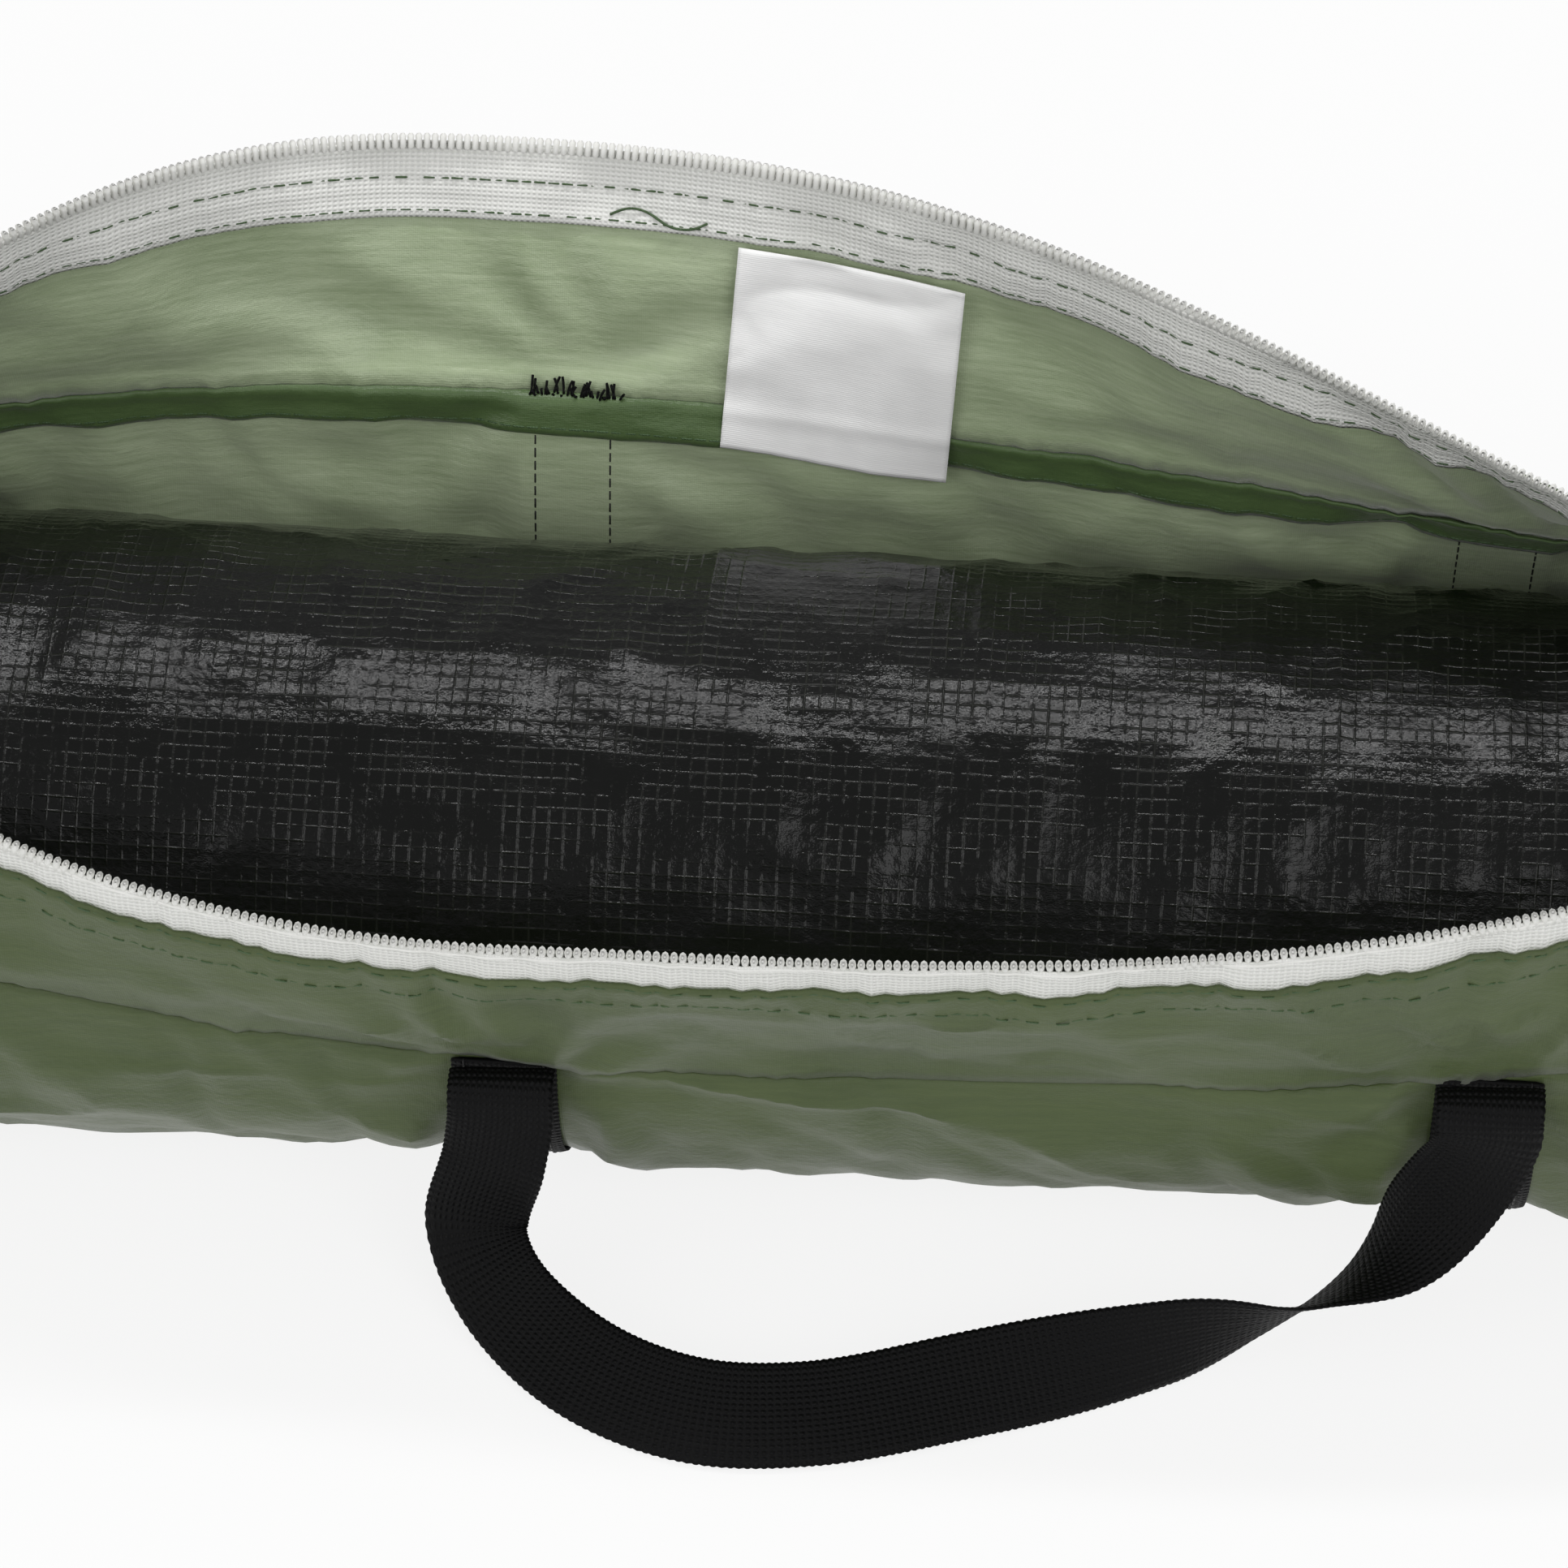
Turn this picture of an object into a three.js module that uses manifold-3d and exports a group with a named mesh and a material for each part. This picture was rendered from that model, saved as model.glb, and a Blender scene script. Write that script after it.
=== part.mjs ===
// A zipped carry bag lying open, with a shelter rolled up in its groundsheet inside it.
// Millimetres. X runs along the bag, Y points to the rear flap and Z is up. The origin is on
// the floor, under the middle of the bag, half way between its two webbing straps.
import * as THREE from 'three';
import { mergeVertices } from 'three/addons/utils/BufferGeometryUtils.js';
import Module from 'manifold-3d';

const wasm = await Module();
wasm.setup();

const gap = 0.3; // clearance between pieces that touch on the real bag

// The bag's cloth tube, as it is cut and sewn
const bagLength = 600;
const bagGirth = 384;
const bagFlat = 42; // width of the flat underside
const cloth = 0.9;
const stationPitch = 15; // between the cloth's even stations along the bag
const flapWidth = 51; // cloth from the zip's centre line down to the flap seam
const rearReach = 194; // cloth from the middle of the underside up to the zip, at the rear

// The open mouth: where it starts and ends along the zip
const mouthLeft = -292;
const mouthRight = 232;

// Each side of the mouth: where it opens widest, the radius that the fully open flap rolls
// back to, how far slack cloth lets it sink, and how the opening fades to the left and right
const rear = { sign: 1, peak: -110, roll: 138, sink: 0, left: [1.4, 1.35], right: [1.35, 1.95] };
const front = { sign: -1, peak: -80, roll: 98.5, sink: 41, left: [1.5, 1.1], right: [2.1, 1.1] };

// Zip, measured across from its centre line
const zipCoilInner = 1.2;
const zipCoilOuter = 3.9;
const zipCoilHeight = 2.2;
const zipTapeWidth = 17;
const zipTape = 0.6;
const zipPanelEdge = 8.5; // where the sewn edge of the flap stops, short of the coil
const zipStart = -288;
const zipEnd = 282.7;
const zipStopLength = 3.2;
const zipStopHeight = 2.8;

// Zip slider and its pull
const sliderLength = 13;
const sliderHalfWidth = 6;
const sliderFlange = 0.9;
const sliderPlate = 1.1;
const sliderChannel = 3;
const sliderTapeSlot = 1.8;
const sliderPost = 1.6;
const sliderPostLength = 3.5;
const sliderNose = 0.72; // the nose's share of the plate's width
const sliderTaper = 0.45; // share of the half length at which the nose starts
const sliderFlangeStart = 0.4; // and at which the flanges start
const bridgeWidth = 2.4;
const bridgePost = 1.4;
const bridgeClear = 2.2;
const bridgeBar = 1.2;
const bridgeInset = 1.3; // from the slider's ends
const pullLength = 26;
const pullWidth = 7;
const pullThick = 1.4;
const pullHole = 5.7;
const pullSlack = 0.4; // between the hole's sides and the bridge
const pullCorner = 1.5;

// Webbing: two straps under the bag and the two handles that they end in
const webbing = 1.2;
const webbingWidth = 20;
const strapSpacing = 183;
const strapRamp = 8; // length over which the cloth lies down beside a strap

// Woven label sewn in under the rear zip tape
const labelWidth = 45;
const labelLength = 42;
const labelThick = 0.4;
const labelX = -37;
const labelDrop = 0.8; // from the tape's lower edge to the line that the label turns on

// The rolled shelter
const rollGirth = 359;
const rollFlat = 40;
const rollLength = 498;
const rollRight = 220;
const groundsheetWrap = 8; // thickness of the groundsheet's turns together
const coreWidth = 52; // hollow in the middle of the roll, around the poles and the pegs
const coreHeight = 23;
const coreCorner = 2.5;

// Poles: each folds in three, with a ferrule on two of its sections
const poleOuter = 8.5;
const poleInner = 5.2;
const poleLength = 420;
const ferruleOuter = 11;
const ferruleLength = 60;
const cordThick = 2;
const cordEnd = 6; // from the end of the outer sections to the cord's ends
const cordTurnSteps = 8;

// Pegs and their pouch
const pegWire = 3.8;
const pegLength = 175;
const pegHook = 5; // radius of the hook's centre line
const pegPitch = pegWire + gap;
const pouchLength = 190;
const pouchWidth = 19;
const pouchHeight = 16.5;
const pouchCloth = 0.8;
const pouchCorner = 3;
const pouchPlace = 40; // from the roll's left end
const pouchClear = 2; // from the side of the hollow
const pegBack = 12; // from the pouch's end to the middle of the hooks
const pegHookTurn = 0.9 * Math.PI;
const pegRise = 0.25; // share of the wire's radius

const half = bagLength / 2;
const flatHalf = bagFlat / 2;
const cornerRadius = cornerFor(bagGirth, flatHalf);
const crownRadius = flatHalf + cornerRadius;
const crownRun = flatHalf + (cornerRadius * Math.PI) / 2;
const strapLift = webbing + gap;
const tapeMid = -(cloth + gap + zipTape / 2);
const strapX = strapSpacing / 2;

const paint = {
  taffeta: finish(0x4b5a34, 0.55, 0),
  zipWhite: finish(0xe6e8e6, 0.45, 0),
  nickel: finish(0xb9bbbd, 0.3, 1),
  webbing: finish(0x15161a, 0.85, 0),
  label: finish(0xf2f2f0, 0.5, 0),
  groundsheet: finish(0x14150f, 0.25, 0),
  canopy: finish(0x5f7150, 0.6, 0),
  fibreglass: finish(0x22242a, 0.35, 0),
  steel: finish(0x9a9c9e, 0.35, 1),
  cord: finish(0x1c1c1e, 0.8, 0),
};

const bag = new THREE.Group();

function finish(color, roughness, metalness) {
  return new THREE.MeshStandardMaterial({ color, roughness, metalness });
}

function place(parent, name, geometry, material) {
  const mesh = new THREE.Mesh(geometry, material);
  mesh.name = name;
  parent.add(mesh);
  return mesh;
}

// The corner radius that closes an outline of this girth: a flat base, two quarter corners
// and a half circle over the top
function cornerFor(girth, baseHalf) {
  return (girth - (2 + Math.PI) * baseHalf) / (2 * Math.PI);
}

function steps(from, to, count) {
  return Array.from({ length: count + 1 }, (_, i) => from + ((to - from) * i) / count);
}

// Places along the bag, shared by all its cloth so that layers lie parallel: even ones, the
// tips of the mouth, and the edges of both straps and of the ramps beside them
function stations(from, to) {
  const edge = webbingWidth / 2 + gap;
  const offsets = [-edge - strapRamp, -edge, edge, edge + strapRamp];
  const edges = [-strapX, strapX].flatMap((x) => offsets.map((offset) => x + offset));
  const even = steps(-half, half, Math.round(bagLength / stationPitch));
  const inner = [...even, ...edges, mouthLeft, mouthRight].filter((x) => x > from + 1 && x < to - 1);
  return [...new Set([from, ...inner, to])].sort((a, b) => a - b);
}

// How far open the mouth is at x, from 0 at its tips to 1 at its widest
function opening(side, x) {
  if (x <= mouthLeft || x >= mouthRight) return 0;
  const tip = x > side.peak ? mouthRight : mouthLeft;
  const [spread, fade] = x > side.peak ? side.right : side.left;
  return (1 - ((x - side.peak) / (tip - side.peak)) ** spread) ** fade;
}

// Cloth from the middle of the underside up to the zip's centre line, and to the flap seam
function zipRun(side, x) {
  const whole = side === rear ? rearReach : bagGirth - rearReach;
  return whole - side.sink * opening(side, x);
}

function seamRun(side, x) {
  return zipRun(side, x) - flapWidth;
}

// A point of the bag's wall: run is the way along the cloth from the middle of the underside,
// and out is the distance outside the cloth's outer face
function wallPoint(side, x, run, out) {
  const { sign } = side;
  if (run < flatHalf) return new THREE.Vector3(x, sign * run, -out);
  if (run < crownRun) {
    const turn = (run - flatHalf) / cornerRadius;
    const radius = cornerRadius + out;
    const y = flatHalf + radius * Math.sin(turn);
    return new THREE.Vector3(x, sign * y, cornerRadius - radius * Math.cos(turn));
  }
  const open = opening(side, x);
  const bend = (1 - open) / crownRadius - open / side.roll || 1e-9;
  const turn = bend * (run - crownRun);
  const y = crownRadius - (1 - Math.cos(turn)) / bend + out * Math.cos(turn);
  return new THREE.Vector3(x, sign * y, cornerRadius + Math.sin(turn) / bend + out * Math.sin(turn));
}

// The same, where a negative run is on the front side
function wallAt(x, run, out) {
  return run < 0 ? wallPoint(front, x, -run, out) : wallPoint(rear, x, run, out);
}

function outward({ points, triangles }) {
  const volume = triangles.reduce((sum, [a, b, c]) => {
    return sum + points[a].dot(new THREE.Vector3().crossVectors(points[b], points[c]));
  }, 0);
  const faces = volume < 0 ? triangles.map(([a, b, c]) => [a, c, b]) : triangles;
  const geometry = new THREE.BufferGeometry();
  geometry.setAttribute('position', new THREE.Float32BufferAttribute(points.flatMap((p) => [...p]), 3));
  geometry.setIndex(faces.flat());
  geometry.computeVertexNormals();
  return geometry;
}

// A tube or strap, from rings of points that follow each other along it
function sweep(rings) {
  const around = rings[0].length;
  const last = (rings.length - 1) * around;
  const triangles = [];
  for (let i = 0; i < last; i += around) {
    for (let j = 0; j < around; j++) {
      const [a, b] = [i + j, i + ((j + 1) % around)];
      const [c, d] = [b + around, a + around];
      // opposite sides are split along the same way, so that a twisted strap keeps its thickness
      if (j < around / 2) triangles.push([a, b, c], [a, c, d]);
      else triangles.push([a, b, d], [b, c, d]);
    }
  }
  for (let j = 1; j + 1 < around; j++) {
    triangles.push([0, j + 1, j], [last, last + j, last + j + 1]);
  }
  return outward({ points: rings.flat(), triangles });
}

// A sheet of cloth on the bag's wall: lanes(x) gives its runs, outer and inner its two faces
function sheet(places, lanes, outer, inner) {
  const face = (out) => places.flatMap((x) => lanes(x).map((run) => wallAt(x, run, out(x))));
  const points = [...face(outer), ...face(inner)];
  const wide = lanes(places[0]).length;
  const under = points.length / 2;
  const triangles = [];
  const quad = (a, b, c, d) => triangles.push([a, b, c], [a, c, d]);
  for (let i = 0; i + 1 < places.length; i++) {
    const row = i * wide;
    for (let j = row; j + 1 < row + wide; j++) {
      quad(j, j + 1, j + 1 + wide, j + wide);
      triangles.push([under + j, under + j + 1 + wide, under + j + 1]);
      triangles.push([under + j, under + j + wide, under + j + 1 + wide]);
    }
    quad(row, row + wide, under + row + wide, under + row);
    const edge = row + wide - 1;
    quad(edge, under + edge, under + edge + wide, edge + wide);
  }
  const last = under - wide;
  for (let j = 0; j + 1 < wide; j++) {
    quad(j, under + j, under + j + 1, j + 1);
    quad(last + j, last + j + 1, under + last + j + 1, under + last + j);
  }
  return outward({ points, triangles });
}

// An outline in the Y-Z plane, pushed along X
function alongX(shape, from, to, segments = 14) {
  const options = { depth: to - from, bevelEnabled: false, curveSegments: segments };
  const geometry = new THREE.ExtrudeGeometry(shape, options);
  const [x, y, z] = [new THREE.Vector3(0, 1, 0), new THREE.Vector3(0, 0, 1), new THREE.Vector3(1, 0, 0)];
  geometry.applyMatrix4(new THREE.Matrix4().makeBasis(x, y, z));
  return geometry.translate(from, 0, 0);
}

function bagOutline(girth, baseHalf, bottom, Kind = THREE.Shape) {
  const corner = cornerFor(girth, baseHalf);
  const outline = new Kind();
  outline.moveTo(-baseHalf, bottom);
  outline.lineTo(baseHalf, bottom);
  outline.absarc(baseHalf, bottom + corner, corner, -Math.PI / 2, 0);
  outline.absarc(0, bottom + corner, baseHalf + corner, 0, Math.PI);
  outline.absarc(-baseHalf, bottom + corner, corner, Math.PI, 1.5 * Math.PI);
  return outline;
}

function roundedBox(y, z, width, height, corner, Kind = THREE.Shape) {
  const outline = new Kind();
  const [left, right] = [y - width / 2 + corner, y + width / 2 - corner];
  const [low, high] = [z - height / 2 + corner, z + height / 2 - corner];
  outline.moveTo(left, low - corner);
  outline.lineTo(right, low - corner);
  outline.absarc(right, low, corner, -Math.PI / 2, 0);
  outline.absarc(right, high, corner, 0, Math.PI / 2);
  outline.absarc(left, high, corner, Math.PI / 2, Math.PI);
  outline.absarc(left, low, corner, Math.PI, 1.5 * Math.PI);
  return outline;
}

function box(x0, x1, y0, y1, z0, z1) {
  const geometry = new THREE.BoxGeometry(x1 - x0, y1 - y0, z1 - z0);
  return geometry.translate((x0 + x1) / 2, (y0 + y1) / 2, (z0 + z1) / 2);
}

function solid(geometry) {
  const bare = geometry.clone();
  bare.deleteAttribute('normal');
  bare.deleteAttribute('uv');
  const merged = mergeVertices(bare, 1e-4);
  const vertProperties = Float32Array.from(merged.attributes.position.array);
  const triVerts = Uint32Array.from(merged.index.array);
  return new wasm.Manifold(new wasm.Mesh({ numProp: 3, vertProperties, triVerts }));
}

function joined(geometries) {
  const mesh = geometries.map(solid).reduce((a, b) => a.add(b)).getMesh();
  const geometry = new THREE.BufferGeometry();
  geometry.setAttribute('position', new THREE.BufferAttribute(mesh.vertProperties, 3));
  geometry.setIndex(new THREE.BufferAttribute(mesh.triVerts, 1));
  geometry.computeVertexNormals();
  return geometry;
}

// A round tube about X, from one end to the other
function pipe(from, to, inner, outer) {
  const profile = [[inner, from], [outer, from], [outer, to], [inner, to], [inner, from]];
  const points = profile.map(([radius, x]) => new THREE.Vector2(radius, x));
  const geometry = new THREE.LatheGeometry(points, 14);
  return geometry.rotateZ(-Math.PI / 2);
}

// A round wire or cord through the points, with its section square to each of them
function wire(points, thick, sides = 8) {
  const rings = points.map((point, i) => {
    const before = points[Math.max(i - 1, 0)];
    const after = points[Math.min(i + 1, points.length - 1)];
    const along = new THREE.Vector3().subVectors(after, before).normalize();
    const across = new THREE.Vector3(0, 1, 0);
    if (Math.abs(along.y) > 0.8) across.set(0, 0, 1);
    across.addScaledVector(along, -across.dot(along)).normalize();
    const up = new THREE.Vector3().crossVectors(along, across);
    return steps(0, 2 * Math.PI, sides).slice(0, sides).map((angle) => {
      const place = point.clone().addScaledVector(across, (Math.cos(angle) * thick) / 2);
      return place.addScaledVector(up, (Math.sin(angle) * thick) / 2);
    });
  });
  return sweep(rings);
}

// ---- Cloth panels ----

// 1 over a strap, falling to 0 beside it
function overStrap(x) {
  const beside = Math.abs(Math.abs(x) - strapX) - webbingWidth / 2 - gap;
  return THREE.MathUtils.clamp(1 - beside / strapRamp, 0, 1);
}

function bodyRuns(x, margin = gap / 2) {
  return [
    ...steps(-seamRun(front, x) + margin, -crownRun, 2),
    ...steps(-crownRun, -flatHalf, 6).slice(1),
    ...steps(-flatHalf, flatHalf, 2).slice(1),
    ...steps(flatHalf, crownRun, 6).slice(1),
    ...steps(crownRun, seamRun(rear, x) - margin, 3).slice(1),
  ];
}

function makeBody() {
  const outer = (x) => -strapLift * overStrap(x);
  const inner = (x) => outer(x) - cloth;
  place(bag, 'body_panel', sheet(stations(gap - half, half - gap), bodyRuns, outer, inner), paint.taffeta);
}

function makeFlap(side, name) {
  const below = [...steps(flapWidth - gap / 2, zipTapeWidth, 3), zipPanelEdge];
  const runs = (x) => below.map((depth) => side.sign * (zipRun(side, x) - depth));
  const panel = sheet(stations(gap - half, half - gap), runs, () => 0, () => -cloth);
  place(bag, name, panel, paint.taffeta);
}

function makeEnds() {
  const outline = bagOutline(bagGirth, flatHalf, 0);
  place(bag, 'left_end_panel', alongX(outline, -half - cloth, -half), paint.taffeta);
  place(bag, 'right_end_panel', alongX(outline, half, half + cloth), paint.taffeta);
}

// ---- Zip ----

// A strip of the zip, between the given distances from its centre line
function zipStrip(side, from, to, below, thick) {
  const runs = (x) => below.map((depth) => side.sign * (zipRun(side, x) - depth));
  const outer = () => tapeMid + thick / 2;
  const inner = () => tapeMid - thick / 2;
  return sheet(stations(from, to), runs, outer, inner);
}

function makeZip(side, name) {
  const tapeEdges = [zipTapeWidth, zipPanelEdge, zipCoilOuter + gap];
  const tape = zipStrip(side, gap - half, half - gap, tapeEdges, zipTape);
  place(bag, `${name}_zip_tape`, tape, paint.zipWhite);
  const coilEdges = [zipCoilOuter, zipCoilInner];
  const coil = zipStrip(side, zipStart, zipEnd, coilEdges, zipCoilHeight);
  place(bag, `${name}_zip_coil`, coil, paint.zipWhite);
  const stopEnd = zipStart - gap;
  const stop = zipStrip(side, stopEnd - zipStopLength, stopEnd, coilEdges, zipStopHeight);
  place(bag, `${name}_zip_top_stop`, stop, paint.zipWhite);
}

// The closed zip's own frame: X along it, Y across it to the rear, Z outwards
function zipFrame() {
  const lean = (rearReach - crownRun) / crownRadius - Math.PI / 2;
  const frame = new THREE.Group();
  frame.rotation.x = lean;
  frame.position.copy(wallPoint(rear, half, rearReach, tapeMid)).setX(0);
  bag.add(frame);
  return frame;
}

function sliderPlateAt(low) {
  const outline = new THREE.Shape();
  const width = sliderHalfWidth + sliderFlange;
  const nose = sliderLength / 2;
  outline.moveTo(-nose, -width * sliderNose);
  outline.lineTo(-nose * sliderTaper, -width);
  outline.lineTo(nose, -width);
  outline.lineTo(nose, width);
  outline.lineTo(-nose * sliderTaper, width);
  outline.lineTo(-nose, width * sliderNose);
  const geometry = new THREE.ExtrudeGeometry(outline, { depth: sliderPlate, bevelEnabled: false });
  return geometry.translate(0, 0, low);
}

function makeSlider(frame) {
  const x = mouthRight + sliderLength / 2 + gap;
  const channel = sliderChannel / 2;
  const slot = sliderTapeSlot / 2;
  const nose = sliderLength / 2;
  const into = 0.2; // pieces of the one casting run into each other
  const pieces = [sliderPlateAt(channel), sliderPlateAt(-channel - sliderPlate)];
  for (const hand of [-1, 1]) {
    const [near, far] = [hand * sliderHalfWidth, hand * (sliderHalfWidth + sliderFlange)];
    const [low, high] = [Math.min(near, far), Math.max(near, far)];
    pieces.push(box(-nose * sliderFlangeStart, nose, low, high, slot, channel + into));
    pieces.push(box(-nose * sliderFlangeStart, nose, low, high, -channel - into, -slot));
  }
  const postHigh = channel + into;
  pieces.push(box(-nose, -nose + sliderPostLength, -sliderPost / 2, sliderPost / 2, -postHigh, postHigh));
  const top = channel + sliderPlate;
  const bar = top + bridgeClear;
  const reach = nose - bridgeInset;
  const side = bridgeWidth / 2;
  pieces.push(box(-reach, -reach + bridgePost, -side, side, top - into, bar + into));
  pieces.push(box(reach - bridgePost, reach, -side, side, top - into, bar + into));
  pieces.push(box(-reach, reach, -side, side, bar, bar + bridgeBar));
  place(frame, 'zip_slider', joined(pieces), paint.nickel).position.x = x;

  const outline = new THREE.Shape();
  const end = pullLength - pullThick / 2;
  const [y, tip] = [pullWidth / 2, pullWidth / 2 - pullCorner];
  outline.moveTo(-pullThick / 2, -y);
  outline.lineTo(end - pullCorner, -y);
  outline.lineTo(end, -tip);
  outline.lineTo(end, tip);
  outline.lineTo(end - pullCorner, y);
  outline.lineTo(-pullThick / 2, y);
  const hole = new THREE.Path();
  const holeSide = bridgeWidth / 2 + pullSlack;
  hole.moveTo(pullThick / 2, -holeSide);
  hole.lineTo(pullThick / 2 + pullHole, -holeSide);
  hole.lineTo(pullThick / 2 + pullHole, holeSide);
  hole.lineTo(pullThick / 2, holeSide);
  outline.holes.push(hole);
  const pull = new THREE.ExtrudeGeometry(outline, { depth: pullThick, bevelEnabled: false });
  pull.translate(0, 0, -pullThick / 2);
  const tab = place(frame, 'zip_pull_tab', pull, paint.nickel);
  tab.position.set(x, 0, top + bridgeClear / 2);
}

function makeBottomStop(frame) {
  const high = zipStopHeight / 2;
  const from = zipEnd + gap;
  const stop = box(from, from + zipStopLength, -zipCoilOuter, zipCoilOuter, -high, high);
  place(frame, 'zip_bottom_stop', stop, paint.zipWhite);
}

// ---- Webbing ----

function makeStrap(x, name) {
  const edge = webbingWidth / 2;
  const runs = (at) => bodyRuns(at, 0);
  const strap = sheet([x - edge, x, x + edge], runs, () => 0, () => -webbing);
  place(bag, name, strap, paint.webbing);
}

// A handle is one length of webbing: each stop on its way is a centre and the direction that
// its width lies in there
function webbingAlong(stops) {
  const middle = new THREE.CatmullRomCurve3(stops.map((stop) => stop.at));
  const width = new THREE.CatmullRomCurve3(stops.map((stop) => stop.across), false, 'catmullrom');
  const count = stops.length * 3;
  const rings = steps(0, 1, count).map((t) => {
    const at = middle.getPoint(t);
    const along = middle.getTangent(t);
    const across = width.getPoint(t);
    across.addScaledVector(along, -across.dot(along)).setLength(webbingWidth / 2);
    const thick = t === 0 || t === 1 ? webbing / 2 : webbing; // pressed thin where it is sewn
    const through = new THREE.Vector3().crossVectors(along, across).setLength(thick / 2);
    const corner = (a, b) => at.clone().addScaledVector(across, a).addScaledVector(through, b);
    return [corner(-1, -1), corner(1, -1), corner(1, 1), corner(-1, 1)];
  });
  return sweep(rings);
}

// Where a handle leaves the end of its strap at the seam and folds over outwards: the way
// along the wall from the seam, and the distance out from the wall
const rootFold = [[0, 1.1], [0.3, 3], [0, 5.4], [-2.8, 7.2], [-7, 8]];

// Both ends of a handle lie on the line that it swings about
function swingLine(side) {
  const [left, right] = [-strapX, strapX].map((x) => {
    return wallPoint(side, x, seamRun(side, x), rootFold[0][1]);
  });
  return right.sub(left).normalize();
}

function rootStops(side, x) {
  const across = swingLine(side);
  return rootFold.map(([along, out]) => {
    const run = seamRun(side, x) + along;
    const on = wallPoint(side, x, run, 0);
    const away = wallPoint(side, x, run, 1).sub(on);
    away.addScaledVector(across, -across.dot(away)).setLength(out);
    return { at: on.add(away), across };
  });
}

function freeStops(list) {
  return list.map(([x, y, z, a, b, c]) => {
    return { at: new THREE.Vector3(x, y, z), across: new THREE.Vector3(a, b, c) };
  });
}

function makeHandle(side, name, free) {
  const left = rootStops(side, -strapX);
  const right = rootStops(side, strapX).reverse();
  const handle = webbingAlong([...left, ...freeStops(free), ...right]);
  place(bag, name, handle, paint.webbing);
}

// The front handle has fallen forward on to the floor and turned over once on its way
const frontHandle = [
  [-93, -74, 34, 0.95, -0.1, 0.15],
  [-96.5, -76, 17, 0.9, 0.1, 0.4],
  [-90.7, -86, 10.5, 0.6, 0.4, 0.65],
  [-74, -100.5, 7.5, 0.5, 0.62, 0.6],
  [-53, -108.5, 6.8, 0.1, 0.8, 0.58],
  [-30.5, -107, 6, 0, 0.86, 0.48],
  [0, -98.5, 7.5, -0.2, 0.75, 0.62],
  [37, -88, 10.9, -0.15, 0.15, 1],
  [59.5, -80.5, 13, 0, -0.6, 0.75],
  [75, -75.5, 23, 0.5, -0.6, 0.4],
  [88, -72.5, 44, 0.95, -0.25, -0.1],
];

// The rear handle hangs down behind the bag
const rearHandle = [
  [-92, 84, 72, 1, 0, 0],
  [-87, 82, 54, 0.85, 0.5, -0.1],
  [-73, 80, 38, 0.4, 0.8, -0.4],
  [-46, 79, 28, 0, 0.8, -0.6],
  [-14, 78, 24, 0, 0.8, -0.6],
  [20, 77, 25, 0, 0.8, -0.6],
  [51, 76, 32, 0.1, 0.8, 0.6],
  [75, 75, 46, 0.5, 0.7, 0.5],
  [87, 73, 62, 0.9, 0.3, 0.2],
  [91, 71, 78, 1, 0, 0],
];

// ---- Label ----

function makeLabel() {
  const top = zipTapeWidth + labelDrop;
  const runs = (x) => steps(zipRun(rear, x) - top - labelLength, zipRun(rear, x) - top, 6);
  const places = steps(labelX - labelWidth / 2, labelX + labelWidth / 2, 3);
  const outer = () => -cloth - gap;
  const inner = () => -cloth - gap - labelThick;
  place(bag, 'label', sheet(places, runs, outer, inner), paint.label);
}

// ---- Rolled shelter ----

const rollLeft = rollRight - rollLength;
const rollBottom = strapLift + cloth + gap;
const wrapGirth = rollGirth - 2 * Math.PI * groundsheetWrap;
const innerGirth = wrapGirth - 2 * Math.PI * gap;
const rollFlatHalf = rollFlat / 2;
const coreZ = rollBottom + groundsheetWrap + cornerFor(wrapGirth, rollFlatHalf);
const coreFloor = coreZ - coreHeight / 2 + gap;

function makeRoll() {
  const groundsheet = bagOutline(rollGirth, rollFlatHalf, rollBottom);
  const inside = rollBottom + groundsheetWrap;
  groundsheet.holes.push(bagOutline(wrapGirth, rollFlatHalf, inside, THREE.Path));
  place(bag, 'groundsheet_roll', alongX(groundsheet, rollLeft, rollRight), paint.groundsheet);
  const canopy = bagOutline(innerGirth, rollFlatHalf, inside + gap);
  canopy.holes.push(roundedBox(0, coreZ, coreWidth, coreHeight, coreCorner, THREE.Path));
  place(bag, 'canopy_roll', alongX(canopy, rollLeft, rollRight), paint.canopy);
}

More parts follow.
